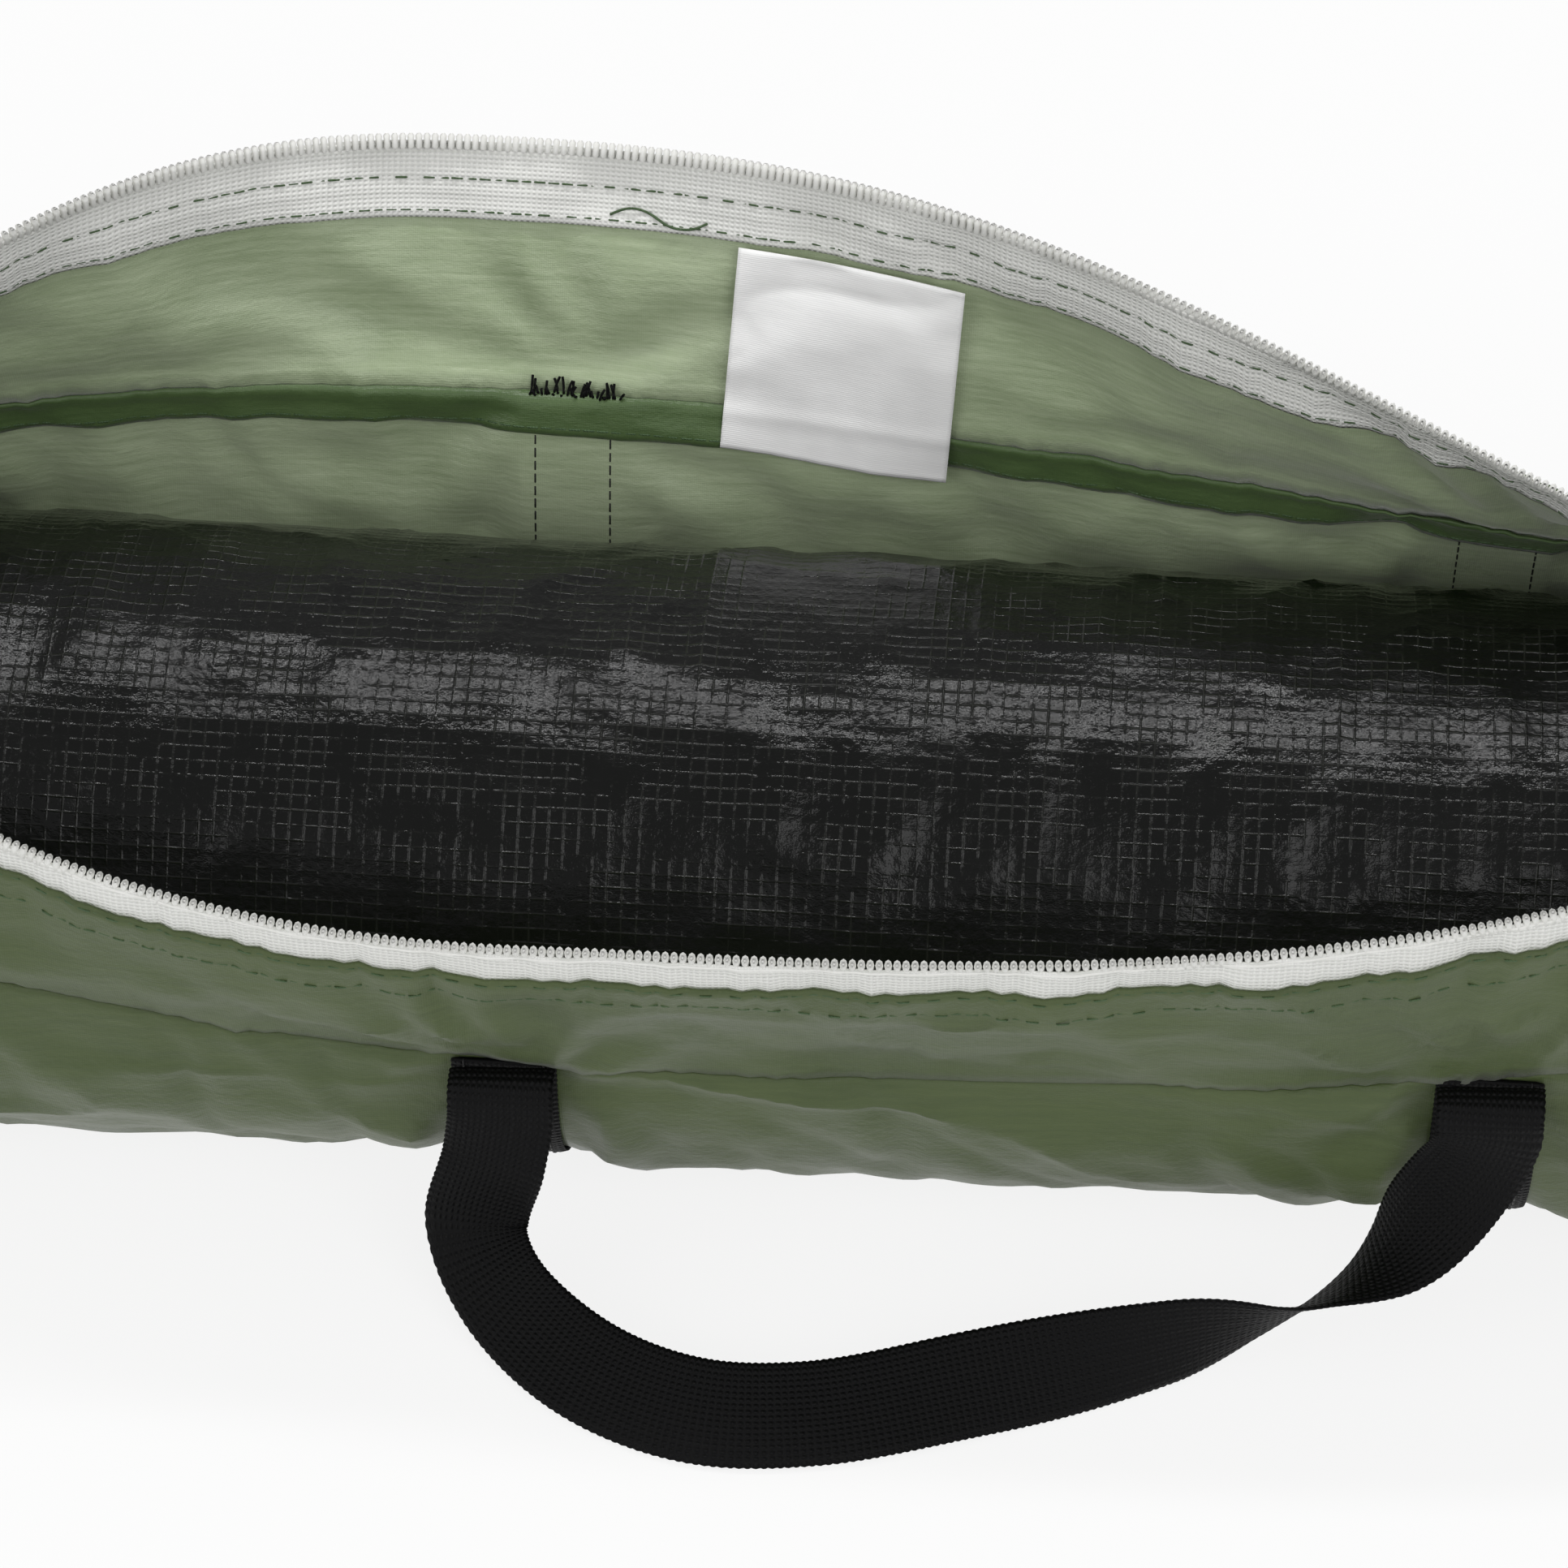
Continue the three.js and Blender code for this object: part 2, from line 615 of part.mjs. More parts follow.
// One pole, folded in three in one layer. Its first and second sections carry a ferrule at the
// ends that are joined on to the next, so neighbours stand a ferrule's width apart.
function makePole(number, z, hand) {
  const pitch = (ferruleOuter + poleOuter) / 2 + 2 * gap;
  const firstY = -coreWidth / 2 + gap + ferruleOuter / 2;
  const rows = [0, 1, 2].map((i) => firstY + i * pitch);
  const centre = (rollLeft + rollRight) / 2;
  const end = poleLength / 2;
  const pole = new THREE.Group();
  pole.position.set(centre, 0, z);
  bag.add(pole);
  rows.forEach((y, i) => {
    const tube = pipe(-end, end, poleInner / 2, poleOuter / 2).translate(0, y, 0);
    place(pole, `pole_${number}_section_${i + 1}`, tube, paint.fibreglass);
  });
  [hand, -hand].forEach((toward, i) => {
    const [from, to] = [end - ferruleLength / 2, end + ferruleLength / 2];
    const ends = toward > 0 ? [from, to] : [-to, -from];
    const bore = poleOuter / 2 + gap;
    const sleeve = pipe(...ends, bore, ferruleOuter / 2).translate(0, rows[i], 0);
    place(pole, `pole_${number}_ferrule_${i + 1}`, sleeve, paint.steel);
  });
  const low = cordThick / 2 + gap - poleInner / 2;
  const turnAt = end + ferruleLength / 2 + cordThick / 2 + gap;
  const loop = (y, toward) => {
    return steps(0, Math.PI, cordTurnSteps).map((angle) => {
      const x = toward * (turnAt + Math.sin(angle) * (pitch / 2));
      return new THREE.Vector3(x, y + pitch / 2 - Math.cos(angle) * (pitch / 2), low);
    });
  };
  const route = [
    new THREE.Vector3(-hand * (end - cordEnd), rows[0], low),
    ...loop(rows[0], hand),
    ...loop(rows[1], -hand),
    new THREE.Vector3(hand * (end - cordEnd), rows[2], low),
  ];
  place(pole, `pole_${number}_shock_cord`, wire(route, cordThick), paint.cord);
}

function makePegs() {
  const y = coreWidth / 2 - pouchClear - pouchWidth / 2;
  const z = coreFloor + pouchHeight / 2;
  const from = rollLeft + pouchPlace;
  const outline = roundedBox(y, z, pouchWidth, pouchHeight, pouchCorner);
  const [width, height] = [pouchWidth - 2 * pouchCloth, pouchHeight - 2 * pouchCloth];
  outline.holes.push(roundedBox(y, z, width, height, pouchCorner - pouchCloth, THREE.Path));
  place(bag, 'peg_pouch', alongX(outline, from, from + pouchLength, 4), paint.canopy);

  const low = z - height / 2 + gap + pegWire / 2 + (pegWire / 2) * pegRise;
  for (let i = 0; i < 4; i++) {
    const at = y + (i - 1.5) * pegPitch;
    const bend = from + pouchLength - pegBack;
    const hook = steps(0, pegHookTurn, 7).map((angle) => {
      const x = bend + Math.sin(angle) * pegHook;
      return new THREE.Vector3(x, at, low + pegHook - Math.cos(angle) * pegHook);
    });
    const tip = new THREE.Vector3(bend + pegHook - pegLength, at, low);
    place(bag, `peg_${i + 1}`, wire([tip, ...hook], pegWire), paint.steel);
  }
}

makeBody();
makeFlap(front, 'front_top_panel');
makeFlap(rear, 'rear_top_panel');
makeEnds();
makeZip(front, 'front');
makeZip(rear, 'rear');
const closedZip = zipFrame();
makeSlider(closedZip);
makeBottomStop(closedZip);
makeStrap(-strapX, 'left_strap');
makeStrap(strapX, 'right_strap');
makeHandle(front, 'front_handle', frontHandle);
makeHandle(rear, 'rear_handle', rearHandle);
makeLabel();
makeRoll();
const poleRise = (ferruleOuter + poleOuter) / 2 + gap;
makePole(1, coreFloor + ferruleOuter / 2, 1);
makePole(2, coreFloor + ferruleOuter / 2 + poleRise, -1);
makePegs();

export default bag;
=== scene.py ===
import math
import bpy
import numpy as np
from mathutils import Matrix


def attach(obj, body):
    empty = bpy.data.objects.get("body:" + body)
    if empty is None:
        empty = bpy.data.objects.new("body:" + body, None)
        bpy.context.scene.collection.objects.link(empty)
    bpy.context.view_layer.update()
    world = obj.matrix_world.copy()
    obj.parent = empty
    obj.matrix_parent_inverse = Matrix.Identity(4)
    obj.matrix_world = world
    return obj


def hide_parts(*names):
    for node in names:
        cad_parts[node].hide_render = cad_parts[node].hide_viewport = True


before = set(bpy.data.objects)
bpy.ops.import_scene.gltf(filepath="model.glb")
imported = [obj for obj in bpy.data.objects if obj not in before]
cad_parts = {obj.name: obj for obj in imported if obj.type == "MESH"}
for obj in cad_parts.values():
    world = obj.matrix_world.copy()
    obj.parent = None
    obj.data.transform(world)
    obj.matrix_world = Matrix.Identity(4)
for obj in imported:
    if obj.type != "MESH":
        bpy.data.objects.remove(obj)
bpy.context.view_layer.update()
scene = bpy.context.scene
mm = 0.001

# ---- camera, light and floor ----

cameraSetting = {
    "elevation": math.radians(45),
    "azimuth": math.radians(4.5),
    "distance": 1.15,
    "target": np.array([-0.044, 0, 0.0645]),
    "lens": 137.1,
}


def makeCamera():
    data = bpy.data.cameras.new("camera")
    camera = bpy.data.objects.new("camera", data)
    scene.collection.objects.link(camera)
    scene.camera = camera
    data.lens = cameraSetting["lens"]
    data.sensor_width = 36
    rise, turn = cameraSetting["elevation"], cameraSetting["azimuth"]
    back = np.array([math.sin(turn) * math.cos(rise), -math.cos(turn) * math.cos(rise), math.sin(rise)])
    camera.location = cameraSetting["target"] + back * cameraSetting["distance"]
    camera.rotation_euler = (math.pi / 2 - rise, 0, turn)
    data.clip_start, data.clip_end = 0.05, 20


makeCamera()
scene.view_settings.view_transform = "Standard"

studio = {
    "skyStrength": 0.5,
    "lamps": [
        # place, size, power in watts
        ((-0.05, 0.46, 1.6), (1.2, 0.12), 11),
        ((0.9, -1.3, 1.3), (1.2, 1.2), 10),
        ((-1.3, -1.0, 0.9), (1.0, 1.0), 6),
    ],
    "floorColour": (0.86, 0.86, 0.86, 1),
    "floorSize": 4,
    "floorShadow": 0.16,
}


class Tree:
    # a short way to write node trees
    def __init__(self, tree):
        self.tree = tree
        tree.nodes.clear()

    def add(self, kind, links=None, **settings):
        made = self.tree.nodes.new(kind)
        for name, value in settings.items():
            setattr(made, name, value)
        for name, value in (links or {}).items():
            socket = made.inputs[name]
            if isinstance(value, bpy.types.NodeSocket):
                self.tree.links.new(value, socket)
            else:
                socket.default_value = value
        return made


def seenByCamera(tree):
    rays = tree.add("ShaderNodeLightPath")
    first = tree.add("ShaderNodeMath", {0: rays.outputs["Is Camera Ray"], 1: rays.outputs["Is Glossy Ray"]},
                     operation="MAXIMUM")
    second = tree.add("ShaderNodeMath", {0: first.outputs[0], 1: rays.outputs["Is Transmission Ray"]},
                      operation="MAXIMUM")
    return second.outputs[0], rays.outputs["Is Camera Ray"]


def lightStudio():
    world = bpy.data.worlds.new("studio")
    scene.world = world
    world.use_nodes = True
    tree = Tree(world.node_tree)
    seen, cameraRay = seenByCamera(tree)
    sky = tree.add("ShaderNodeBackground", {"Color": (1, 1, 1, 1), "Strength": studio["skyStrength"]})
    white = tree.add("ShaderNodeBackground", {"Color": (1, 1, 1, 1), "Strength": 1})
    mix = tree.add("ShaderNodeMixShader", {0: cameraRay, 1: sky.outputs[0], 2: white.outputs[0]})
    tree.add("ShaderNodeOutputWorld", {0: mix.outputs[0]})
    for number, (place, size, power) in enumerate(studio["lamps"]):
        data = bpy.data.lights.new(f"softLamp{number}", "AREA")
        data.shape = "RECTANGLE"
        data.size, data.size_y = size
        data.energy = power
        lamp = bpy.data.objects.new(data.name, data)
        scene.collection.objects.link(lamp)
        lamp.location = place
        aim = lamp.location.copy()
        aim.z -= 0.05
        lamp.rotation_euler = aim.to_track_quat("Z", "Y").to_euler()


def layFloor():
    half = studio["floorSize"] / 2
    mesh = bpy.data.meshes.new("floor")
    corners = [(-half, -half, 0), (half, -half, 0), (half, half, 0), (-half, half, 0)]
    mesh.from_pydata(corners, [], [(0, 1, 2, 3)])
    floor = bpy.data.objects.new("floor", mesh)
    scene.collection.objects.link(floor)
    finish = bpy.data.materials.new("paleFloor")
    finish.use_nodes = True
    tree = Tree(finish.node_tree)
    matt = tree.add("ShaderNodeBsdfDiffuse", {"Color": studio["floorColour"]})
    glow = tree.add("ShaderNodeEmission", {"Color": (1, 1, 1, 1), "Strength": 1})
    seen, cameraRay = seenByCamera(tree)
    share = tree.add("ShaderNodeMath", {0: seen, 1: 1 - studio["floorShadow"]}, operation="MULTIPLY")
    mix = tree.add("ShaderNodeMixShader", {0: share.outputs[0], 1: matt.outputs[0], 2: glow.outputs[0]})
    tree.add("ShaderNodeOutputMaterial", {0: mix.outputs[0]})
    mesh.materials.append(finish)


lightStudio()
layFloor()
print("stage: camera, light and floor")

# ---- finishes ----


def linear(red, green, blue):
    channels = [c / 255 for c in (red, green, blue)]
    return tuple(c / 12.92 if c <= 0.04045 else ((c + 0.055) / 1.055) ** 2.4 for c in channels) + (1,)


class Finish(Tree):
    # one material: a principled shader whose colour, roughness and bump come from added nodes
    def __init__(self, name, **base):
        self.material = bpy.data.materials.new(name)
        self.material.use_nodes = True
        super().__init__(self.material.node_tree)
        self.shader = self.add("ShaderNodeBsdfPrincipled", base)
        self.add("ShaderNodeOutputMaterial", {0: self.shader.outputs[0]})
        self.height = None

    def place(self, uv=True, scale=(1, 1, 1)):
        kind = self.add("ShaderNodeTexCoord")
        moved = self.add("ShaderNodeMapping", {0: kind.outputs["UV" if uv else "Object"], 3: scale})
        return moved.outputs[0]

    def noise(self, place, scale, detail=3, rough=0.55, low=0.0, high=1.0):
        made = self.add("ShaderNodeTexNoise",
                        {"Vector": place, "Scale": scale, "Detail": detail, "Roughness": rough})
        if (low, high) == (0.0, 1.0):
            return made.outputs[0]
        return self.fit(made.outputs[0], 0.3, 0.7, low, high)

    def wave(self, place, pitch, direction="X", bend=0.0):
        # bands a pitch apart, in metres
        return self.add("ShaderNodeTexWave", {"Vector": place, "Scale": 0.31416 / pitch, "Distortion": bend},
                        bands_direction=direction).outputs[1]

    def fit(self, value, low, high, toLow, toHigh):
        return self.add("ShaderNodeMapRange", {0: value, 1: low, 2: high, 3: toLow, 4: toHigh}).outputs[0]

    def math(self, operation, first, second):
        return self.add("ShaderNodeMath", {0: first, 1: second}, operation=operation).outputs[0]

    def blend(self, share, first, second):
        made = self.add("ShaderNodeMix", data_type="RGBA")
        for socket, value in ((0, share), (6, first), (7, second)):
            if isinstance(value, bpy.types.NodeSocket):
                self.tree.links.new(value, made.inputs[socket])
            else:
                made.inputs[socket].default_value = value
        return made.outputs[2]

    def colour(self, value):
        self.tree.links.new(value, self.shader.inputs["Base Color"])

    def rough(self, value):
        self.tree.links.new(value, self.shader.inputs["Roughness"])

    def bump(self, height, distance, strength=1.0):
        links = {"Height": height, "Distance": distance, "Strength": strength}
        if self.height:
            links["Normal"] = self.height
        self.height = self.add("ShaderNodeBump", links).outputs[0]
        self.tree.links.new(self.height, self.shader.inputs["Normal"])


def taffeta(name, deep, pale, lowRough, highRough, sheen):
    made = Finish(name)
    made.shader.inputs["Specular IOR Level"].default_value = 0.45
    made.shader.inputs["Sheen Weight"].default_value = sheen
    made.shader.inputs["Sheen Roughness"].default_value = 0.4
    uv = made.place()
    slubs = made.noise(made.place(scale=(60, 900, 1)), 1.0, detail=4, rough=0.65)
    cloudy = made.noise(made.place(uv=False), 16, detail=5, rough=0.6)
    share = made.fit(made.math("ADD", slubs, cloudy), 0.55, 1.45, 0.0, 1.0)
    made.colour(made.blend(share, deep, pale))
    made.rough(made.fit(cloudy, 0.35, 0.65, lowRough, highRough))
    weave = made.math("ADD", made.wave(uv, 0.00042, "X"), made.wave(uv, 0.00036, "Y"))
    made.bump(weave, 0.00003, 0.5)
    made.bump(made.noise(made.place(scale=(300, 900, 1)), 1.0, detail=2), 0.00005, 0.6)
    creases = made.noise(made.place(scale=(38, 60, 1)), 1.0, detail=6, rough=0.68)
    made.bump(creases, 0.0016, 0.55)
    return made.material


def zipKnit():
    made = Finish("zipKnit")
    made.shader.inputs["Base Color"].default_value = linear(232, 232, 228)
    uv = made.place()
    made.rough(made.noise(uv, 900, low=0.6, high=0.8))
    made.colour(made.blend(made.wave(uv, 0.0009, "Y"), linear(216, 217, 212), linear(240, 240, 237)))
    knit = made.math("MULTIPLY", made.wave(uv, 0.0011, "X"), made.wave(uv, 0.0009, "Y"))
    made.bump(knit, 0.00025, 0.8)
    return made.material


def zipNylon():
    made = Finish("zipNylon")
    place = made.place(uv=False)
    made.colour(made.blend(made.noise(place, 300), linear(226, 226, 221), linear(244, 244, 241)))
    made.rough(made.noise(place, 500, low=0.3, high=0.45))
    made.bump(made.noise(place, 1500), 0.00006, 0.4)
    return made.material


def thread(name, dark, light):
    made = Finish(name)
    place = made.place(uv=False)
    made.colour(made.blend(made.noise(place, 700), dark, light))
    made.rough(made.noise(place, 900, low=0.5, high=0.75))
    made.bump(made.wave(made.place(uv=False), 0.0003, "DIAGONAL"), 0.00006, 0.8)
    return made.material


def webbingWeave():
    made = Finish("webbingWeave")
    made.shader.inputs["Specular IOR Level"].default_value = 0.14
    uv = made.place()
    ribs = made.wave(uv, 0.0014, "X")
    rows = made.wave(uv, 0.0011, "Y")
    woven = made.math("MULTIPLY", ribs, rows)
    fuzz = made.noise(uv, 1200, detail=4)
    tone = made.fit(made.math("ADD", woven, fuzz), 0.3, 1.5, 0.0, 1.0)
    made.colour(made.blend(tone, linear(4, 4, 5), linear(19, 19, 20)))
    made.rough(made.fit(fuzz, 0.3, 0.7, 0.5, 0.72))
    made.bump(woven, 0.00045, 0.9)
    made.bump(made.noise(made.place(scale=(1500, 300, 1)), 1.0), 0.0001, 0.6)
    return made.material


def labelSatin():
    made = Finish("labelSatin")
    made.shader.inputs["Sheen Weight"].default_value = 0.2
    uv = made.place()
    threads = made.noise(made.place(scale=(120, 2400, 1)), 1.0, detail=3)
    made.colour(made.blend(threads, linear(240, 240, 240), linear(253, 253, 252)))
    made.rough(made.noise(uv, 150, low=0.34, high=0.46))
    made.bump(made.wave(uv, 0.0004, "Y"), 0.00005, 0.5)
    made.bump(made.noise(uv, 45, detail=4), 0.0006, 0.4)
    return made.material


def wovenPoly():
    # black film over woven tapes: a fine grid of raised lines, film creases and patchy gloss; in patches the grid lines
    # are also painted lighter, a painted glint
    made = Finish("wovenPoly")
    made.shader.inputs["Specular IOR Level"].default_value = 0.24
    uv = made.place()
    wander = made.add("ShaderNodeTexNoise", {"Vector": uv, "Scale": 22.0, "Detail": 2.0})
    shift = made.add("ShaderNodeVectorMath", {0: wander.outputs[1], 1: (0.0012, 0.0012, 0)},
                     operation="MULTIPLY")
    moved = made.add("ShaderNodeVectorMath", {0: uv, 1: shift.outputs[0]}, operation="ADD").outputs[0]
    grid = 0.00285
    lines = [made.math("POWER", made.wave(moved, grid, way), 26.0) for way in ("X", "Y")]
    net = made.math("MAXIMUM", *lines)
    glintPatches = made.noise(uv, 95, detail=4, rough=0.7)
    kept = made.math("MULTIPLY", net, made.fit(glintPatches, 0.42, 0.62, 0.0, 1.0))
    film = made.noise(made.place(scale=(1, 1.3, 1)), 34, detail=7, rough=0.72)
    # painted glint: where the patches fall, the grid lines are painted lighter than the black film
    made.colour(made.blend(kept, linear(4, 5, 4), linear(30, 31, 28)))
    made.rough(made.fit(made.math("SUBTRACT", film, made.math("MULTIPLY", kept, 0.2)), 0.3, 0.7, 0.08, 0.26))
    weave = made.math("MULTIPLY", made.wave(moved, grid, "X"), made.wave(moved, grid, "Y"))
    made.bump(weave, 0.0001, 0.6)
    made.bump(kept, 0.00018, 0.9)
    made.bump(film, 0.0013, 0.6)
    made.bump(made.noise(uv, 210, detail=5, rough=0.7), 0.00016, 0.5)
    return made.material


def plainFinish(name, dark, light, lowRough, highRough, metallic=0.0, scale=120.0, depth=0.0001):
    made = Finish(name)
    made.shader.inputs["Metallic"].default_value = metallic
    place = made.place(uv=False)
    made.colour(made.blend(made.noise(place, scale, detail=5), dark, light))
    made.rough(made.noise(place, scale * 2.5, low=lowRough, high=highRough))
    made.bump(made.noise(place, scale * 6, detail=3), depth, 0.5)
    return made.material


finishes = {
    "outer": taffeta("bagTaffeta", linear(62, 76, 41), linear(84, 97, 57), 0.36, 0.55, 0.12),
    "inner": taffeta("bagCoating", linear(130, 146, 110), linear(184, 196, 164), 0.26, 0.46, 0.3),
    "seam": taffeta("seamTaffeta", linear(66, 88, 50), linear(88, 110, 66), 0.34, 0.5, 0.15),
    "canopy": taffeta("canopyTaffeta", linear(70, 90, 52), linear(96, 116, 70), 0.4, 0.6, 0.12),
    "knit": zipKnit(),
    "nylon": zipNylon(),
    "greenThread": thread("greenThread", linear(48, 72, 42), linear(78, 102, 64)),
    "blackThread": thread("blackThread", linear(8, 8, 9), linear(26, 26, 27)),
    "webbing": webbingWeave(),
    "satin": labelSatin(),
    "poly": wovenPoly(),
    "nickel": plainFinish("whiteSlider", linear(206, 206, 202), linear(228, 228, 224), 0.25, 0.4, 0.35),
    "fibreglass": plainFinish("fibreglass", linear(20, 20, 22), linear(38, 38, 40), 0.3, 0.45),
    "steel": plainFinish("pegSteel", linear(150, 152, 154), linear(186, 188, 190), 0.25, 0.42, 1.0),
    "shock": plainFinish("shockCord", linear(22, 22, 24), linear(60, 60, 62), 0.6, 0.8, 0.0, 900.0, 0.0003),
}
print("finishes made")

# ---- the bag's wall ----

wall = {
    "half": 0.3,
    "girth": 0.384,
    "flatHalf": 0.021,
    "cloth": 0.9 * mm,
    "flapWidth": 0.051,
    "rearReach": 0.194,
    "mouthLeft": -0.292,
    "mouthRight": 0.232,
    "strapX": 0.0915,
    "strapWidth": 0.02,
    "strapLift": 1.5 * mm,
    "strapRamp": 0.008,
    "seamPinch": 0.8 * mm,
}
wall["corner"] = (wall["girth"] - (2 + math.pi) * wall["flatHalf"]) / (2 * math.pi)
wall["crown"] = wall["flatHalf"] + wall["corner"]
wall["crownRun"] = wall["flatHalf"] + wall["corner"] * math.pi / 2
rear = {"sign": 1, "peak": -0.110, "roll": 0.138, "sink": 0.0, "slump": 0.0, "left": (1.4, 1.35), "right": (1.35, 1.95)}
front = {"sign": -1, "peak": -0.080, "roll": 0.0985, "sink": 0.041, "slump": 6.5 * mm, "left": (1.5, 1.1), "right": (2.1, 1.1)}


def opening(side, x):
    x = np.asarray(x, float)
    right = x > side["peak"]
    tip = np.where(right, wall["mouthRight"], wall["mouthLeft"])
    spread = np.where(right, side["right"][0], side["left"][0])
    fade = np.where(right, side["right"][1], side["left"][1])
    way = np.clip((x - side["peak"]) / (tip - side["peak"]), 0, 1)
    way = (np.sqrt(way ** 2 + 0.1 ** 2) - 0.1) / (math.sqrt(1 + 0.1 ** 2) - 0.1)  # eases the peak
    return np.maximum(1 - way ** spread, 0) ** fade


def plainZipRun(side, x):
    whole = wall["rearReach"] if side is rear else wall["girth"] - wall["rearReach"]
    return whole - side["sink"] * opening(side, x)


def zipRun(side, x):
    # the front edge sags further where the flap has slumped, left of the middle
    slump = side["slump"] * np.exp(-(np.abs((np.asarray(x, float) + 0.15) / 0.062) ** 3))
    return plainZipRun(side, x) - slump


def seamRun(side, x):
    return plainZipRun(side, x) - wall["flapWidth"]


def wallPoint(side, x, run, out):
    x, run, out = np.broadcast_arrays(*(np.asarray(a, float) for a in (x, run, out)))
    corner, crown = wall["corner"], wall["crown"]
    turn = np.clip(run - wall["flatHalf"], 0, wall["crownRun"] - wall["flatHalf"]) / corner
    y = np.minimum(run, wall["flatHalf"]) + (corner + out) * np.sin(turn)
    z = corner - (corner + out) * np.cos(turn)
    openShare = opening(side, x)
    bend = (1 - openShare) / crown - openShare / side["roll"]
    bend = np.where(np.abs(bend) < 1e-4, 1e-4, bend)
    lean = bend * np.maximum(run - wall["crownRun"], 0)
    above = run > wall["crownRun"]
    y = np.where(above, crown - (1 - np.cos(lean)) / bend + out * np.cos(lean), y)
    z = np.where(above, corner + np.sin(lean) / bend + out * np.sin(lean), z)
    return np.stack([x, side["sign"] * y, z], -1)


def overStrap(x):
    beside = np.abs(np.abs(x) - wall["strapX"]) - wall["strapWidth"] / 2 - 0.3 * mm
    return np.clip(1 - beside / wall["strapRamp"], 0, 1)


def lattice(seed):
    # smooth noise over a plane, from -1 to 1, the same at every run
    table = np.random.RandomState(seed).rand(97, 97) * 2 - 1

    def at(u, v):
        u, v = np.broadcast_arrays(np.asarray(u, float), np.asarray(v, float))
        i, j = np.floor(u).astype(int), np.floor(v).astype(int)
        a, b = u - i, v - j
        a, b = a * a * (3 - 2 * a), b * b * (3 - 2 * b)
        i, j = i % 97, j % 97
        k, m = (i + 1) % 97, (j + 1) % 97
        low = table[i, j] * (1 - a) + table[k, j] * a
        high = table[i, m] * (1 - a) + table[k, m] * a
        return low * (1 - b) + high * b

    return at


fields = [lattice(seed) for seed in range(11, 19)]


def ridges(field, u, v, sharp=5):
    return (1 - np.abs(field(u, v))) ** sharp


folds = {
    "soft": 2.1 * mm,  # long soft folds along the bag
    "crease": 1.4 * mm,
    "root": 2.2 * mm,  # folds pulled towards the handles' ends
    "pucker": 0.35 * mm,  # gathers along the stitched edges
    "puckerPitch": 0.006,
}


def foldsAt(side, x, run):
    # how far the cloth stands out of the plain wall
    zipDepth = zipRun(side, x) - run
    seamDepth = seamRun(side, x) - run
    seed = 0 if side is front else 4
    slope = run + 0.18 * x
    soft = fields[seed](x / 0.11, slope / 0.017) + 0.5 * fields[seed + 1](x / 0.045, slope / 0.011)
    crease = ridges(fields[seed + 2], x / 0.05 + slope / 0.06, slope / 0.02 - x / 0.12)
    crease = crease - 0.6 * ridges(fields[seed + 3], x / 0.028, slope / 0.03 + x / 0.04)
    free = np.clip((run - wall["flatHalf"]) / 0.03, 0, 1) * np.clip(zipDepth / 0.016, 0, 1)
    out = free * (folds["soft"] * soft * 0.6 + folds["crease"] * crease)
    for rootX in (-wall["strapX"], wall["strapX"]):
        u, v = x - rootX, seamDepth
        far = np.hypot(u, v)
        angle = np.arctan2(v, u)
        fan = np.cos(9 * angle + 3 * fields[seed + 1](u / 0.03, v / 0.03)) * np.exp(-far / 0.032)
        out = out + free * folds["root"] * fan * np.clip((far - 0.009) / 0.012, 0, 1)
    gather = np.sin(x / folds["puckerPitch"] * 2 * math.pi + 2 * fields[seed + 2](x / 0.02, 0.5))
    edge = np.exp(-((zipDepth - 0.012) / 0.006) ** 2) + 0.7 * np.exp(-(seamDepth / 0.005) ** 2)
    out = out + folds["pucker"] * gather * edge
    out = out - wall["seamPinch"] * np.exp(-(seamDepth / 0.0016) ** 2)
    beside = overStrap(x) * (run < seamRun(side, x))
    out = out * (1 - beside)
    room = np.where(run < 0.118, 1.3 * mm, 4 * mm)  # the roll lies close inside, low down
    ends = np.clip((wall["half"] - np.abs(x)) / 0.012, 0, 1)
    return np.clip(out, -room, 4 * mm) * ends


settled = {}


def settleOffset(side, x, run):
    # what the cloth simulation added, looked up across the wall
    if not settled:
        return 0.0
    x, run = np.broadcast_arrays(np.asarray(x, float), np.asarray(run, float))
    offset = settled["offset"]
    across, along = offset.shape
    share = side["sign"] * np.clip(run / zipRun(side, x), 0, 1)
    u = np.clip((x + wall["half"]) / (2 * wall["half"]), 0, 1) * (across - 1)
    v = (share + 1) / 2 * (along - 1)
    i = np.minimum(u.astype(int), across - 2)
    j = np.minimum(v.astype(int), along - 2)
    a, b = u - i, v - j
    low = offset[i, j] * (1 - a) + offset[i + 1, j] * a
    high = offset[i, j + 1] * (1 - a) + offset[i + 1, j + 1] * a
    return low * (1 - b) + high * b


def surface(side, x, run, out):
    # a point on the folded wall
    lift = foldsAt(side, x, run) + settleOffset(side, x, run)
    return wallPoint(side, x, run, out + lift)


def away(side, x, run):
    direction = wallPoint(side, x, run, 1 * mm) - wallPoint(side, x, run, 0)
    return direction / np.linalg.norm(direction, axis=-1, keepdims=True)


def onWall(x, run, out):
    # the same for a run that is negative on the front side
    x, run, out = np.broadcast_arrays(x, run, out)
    return np.where((run < 0)[..., None], surface(front, x, -run, out), surface(rear, x, run, out))


# ---- making meshes ----


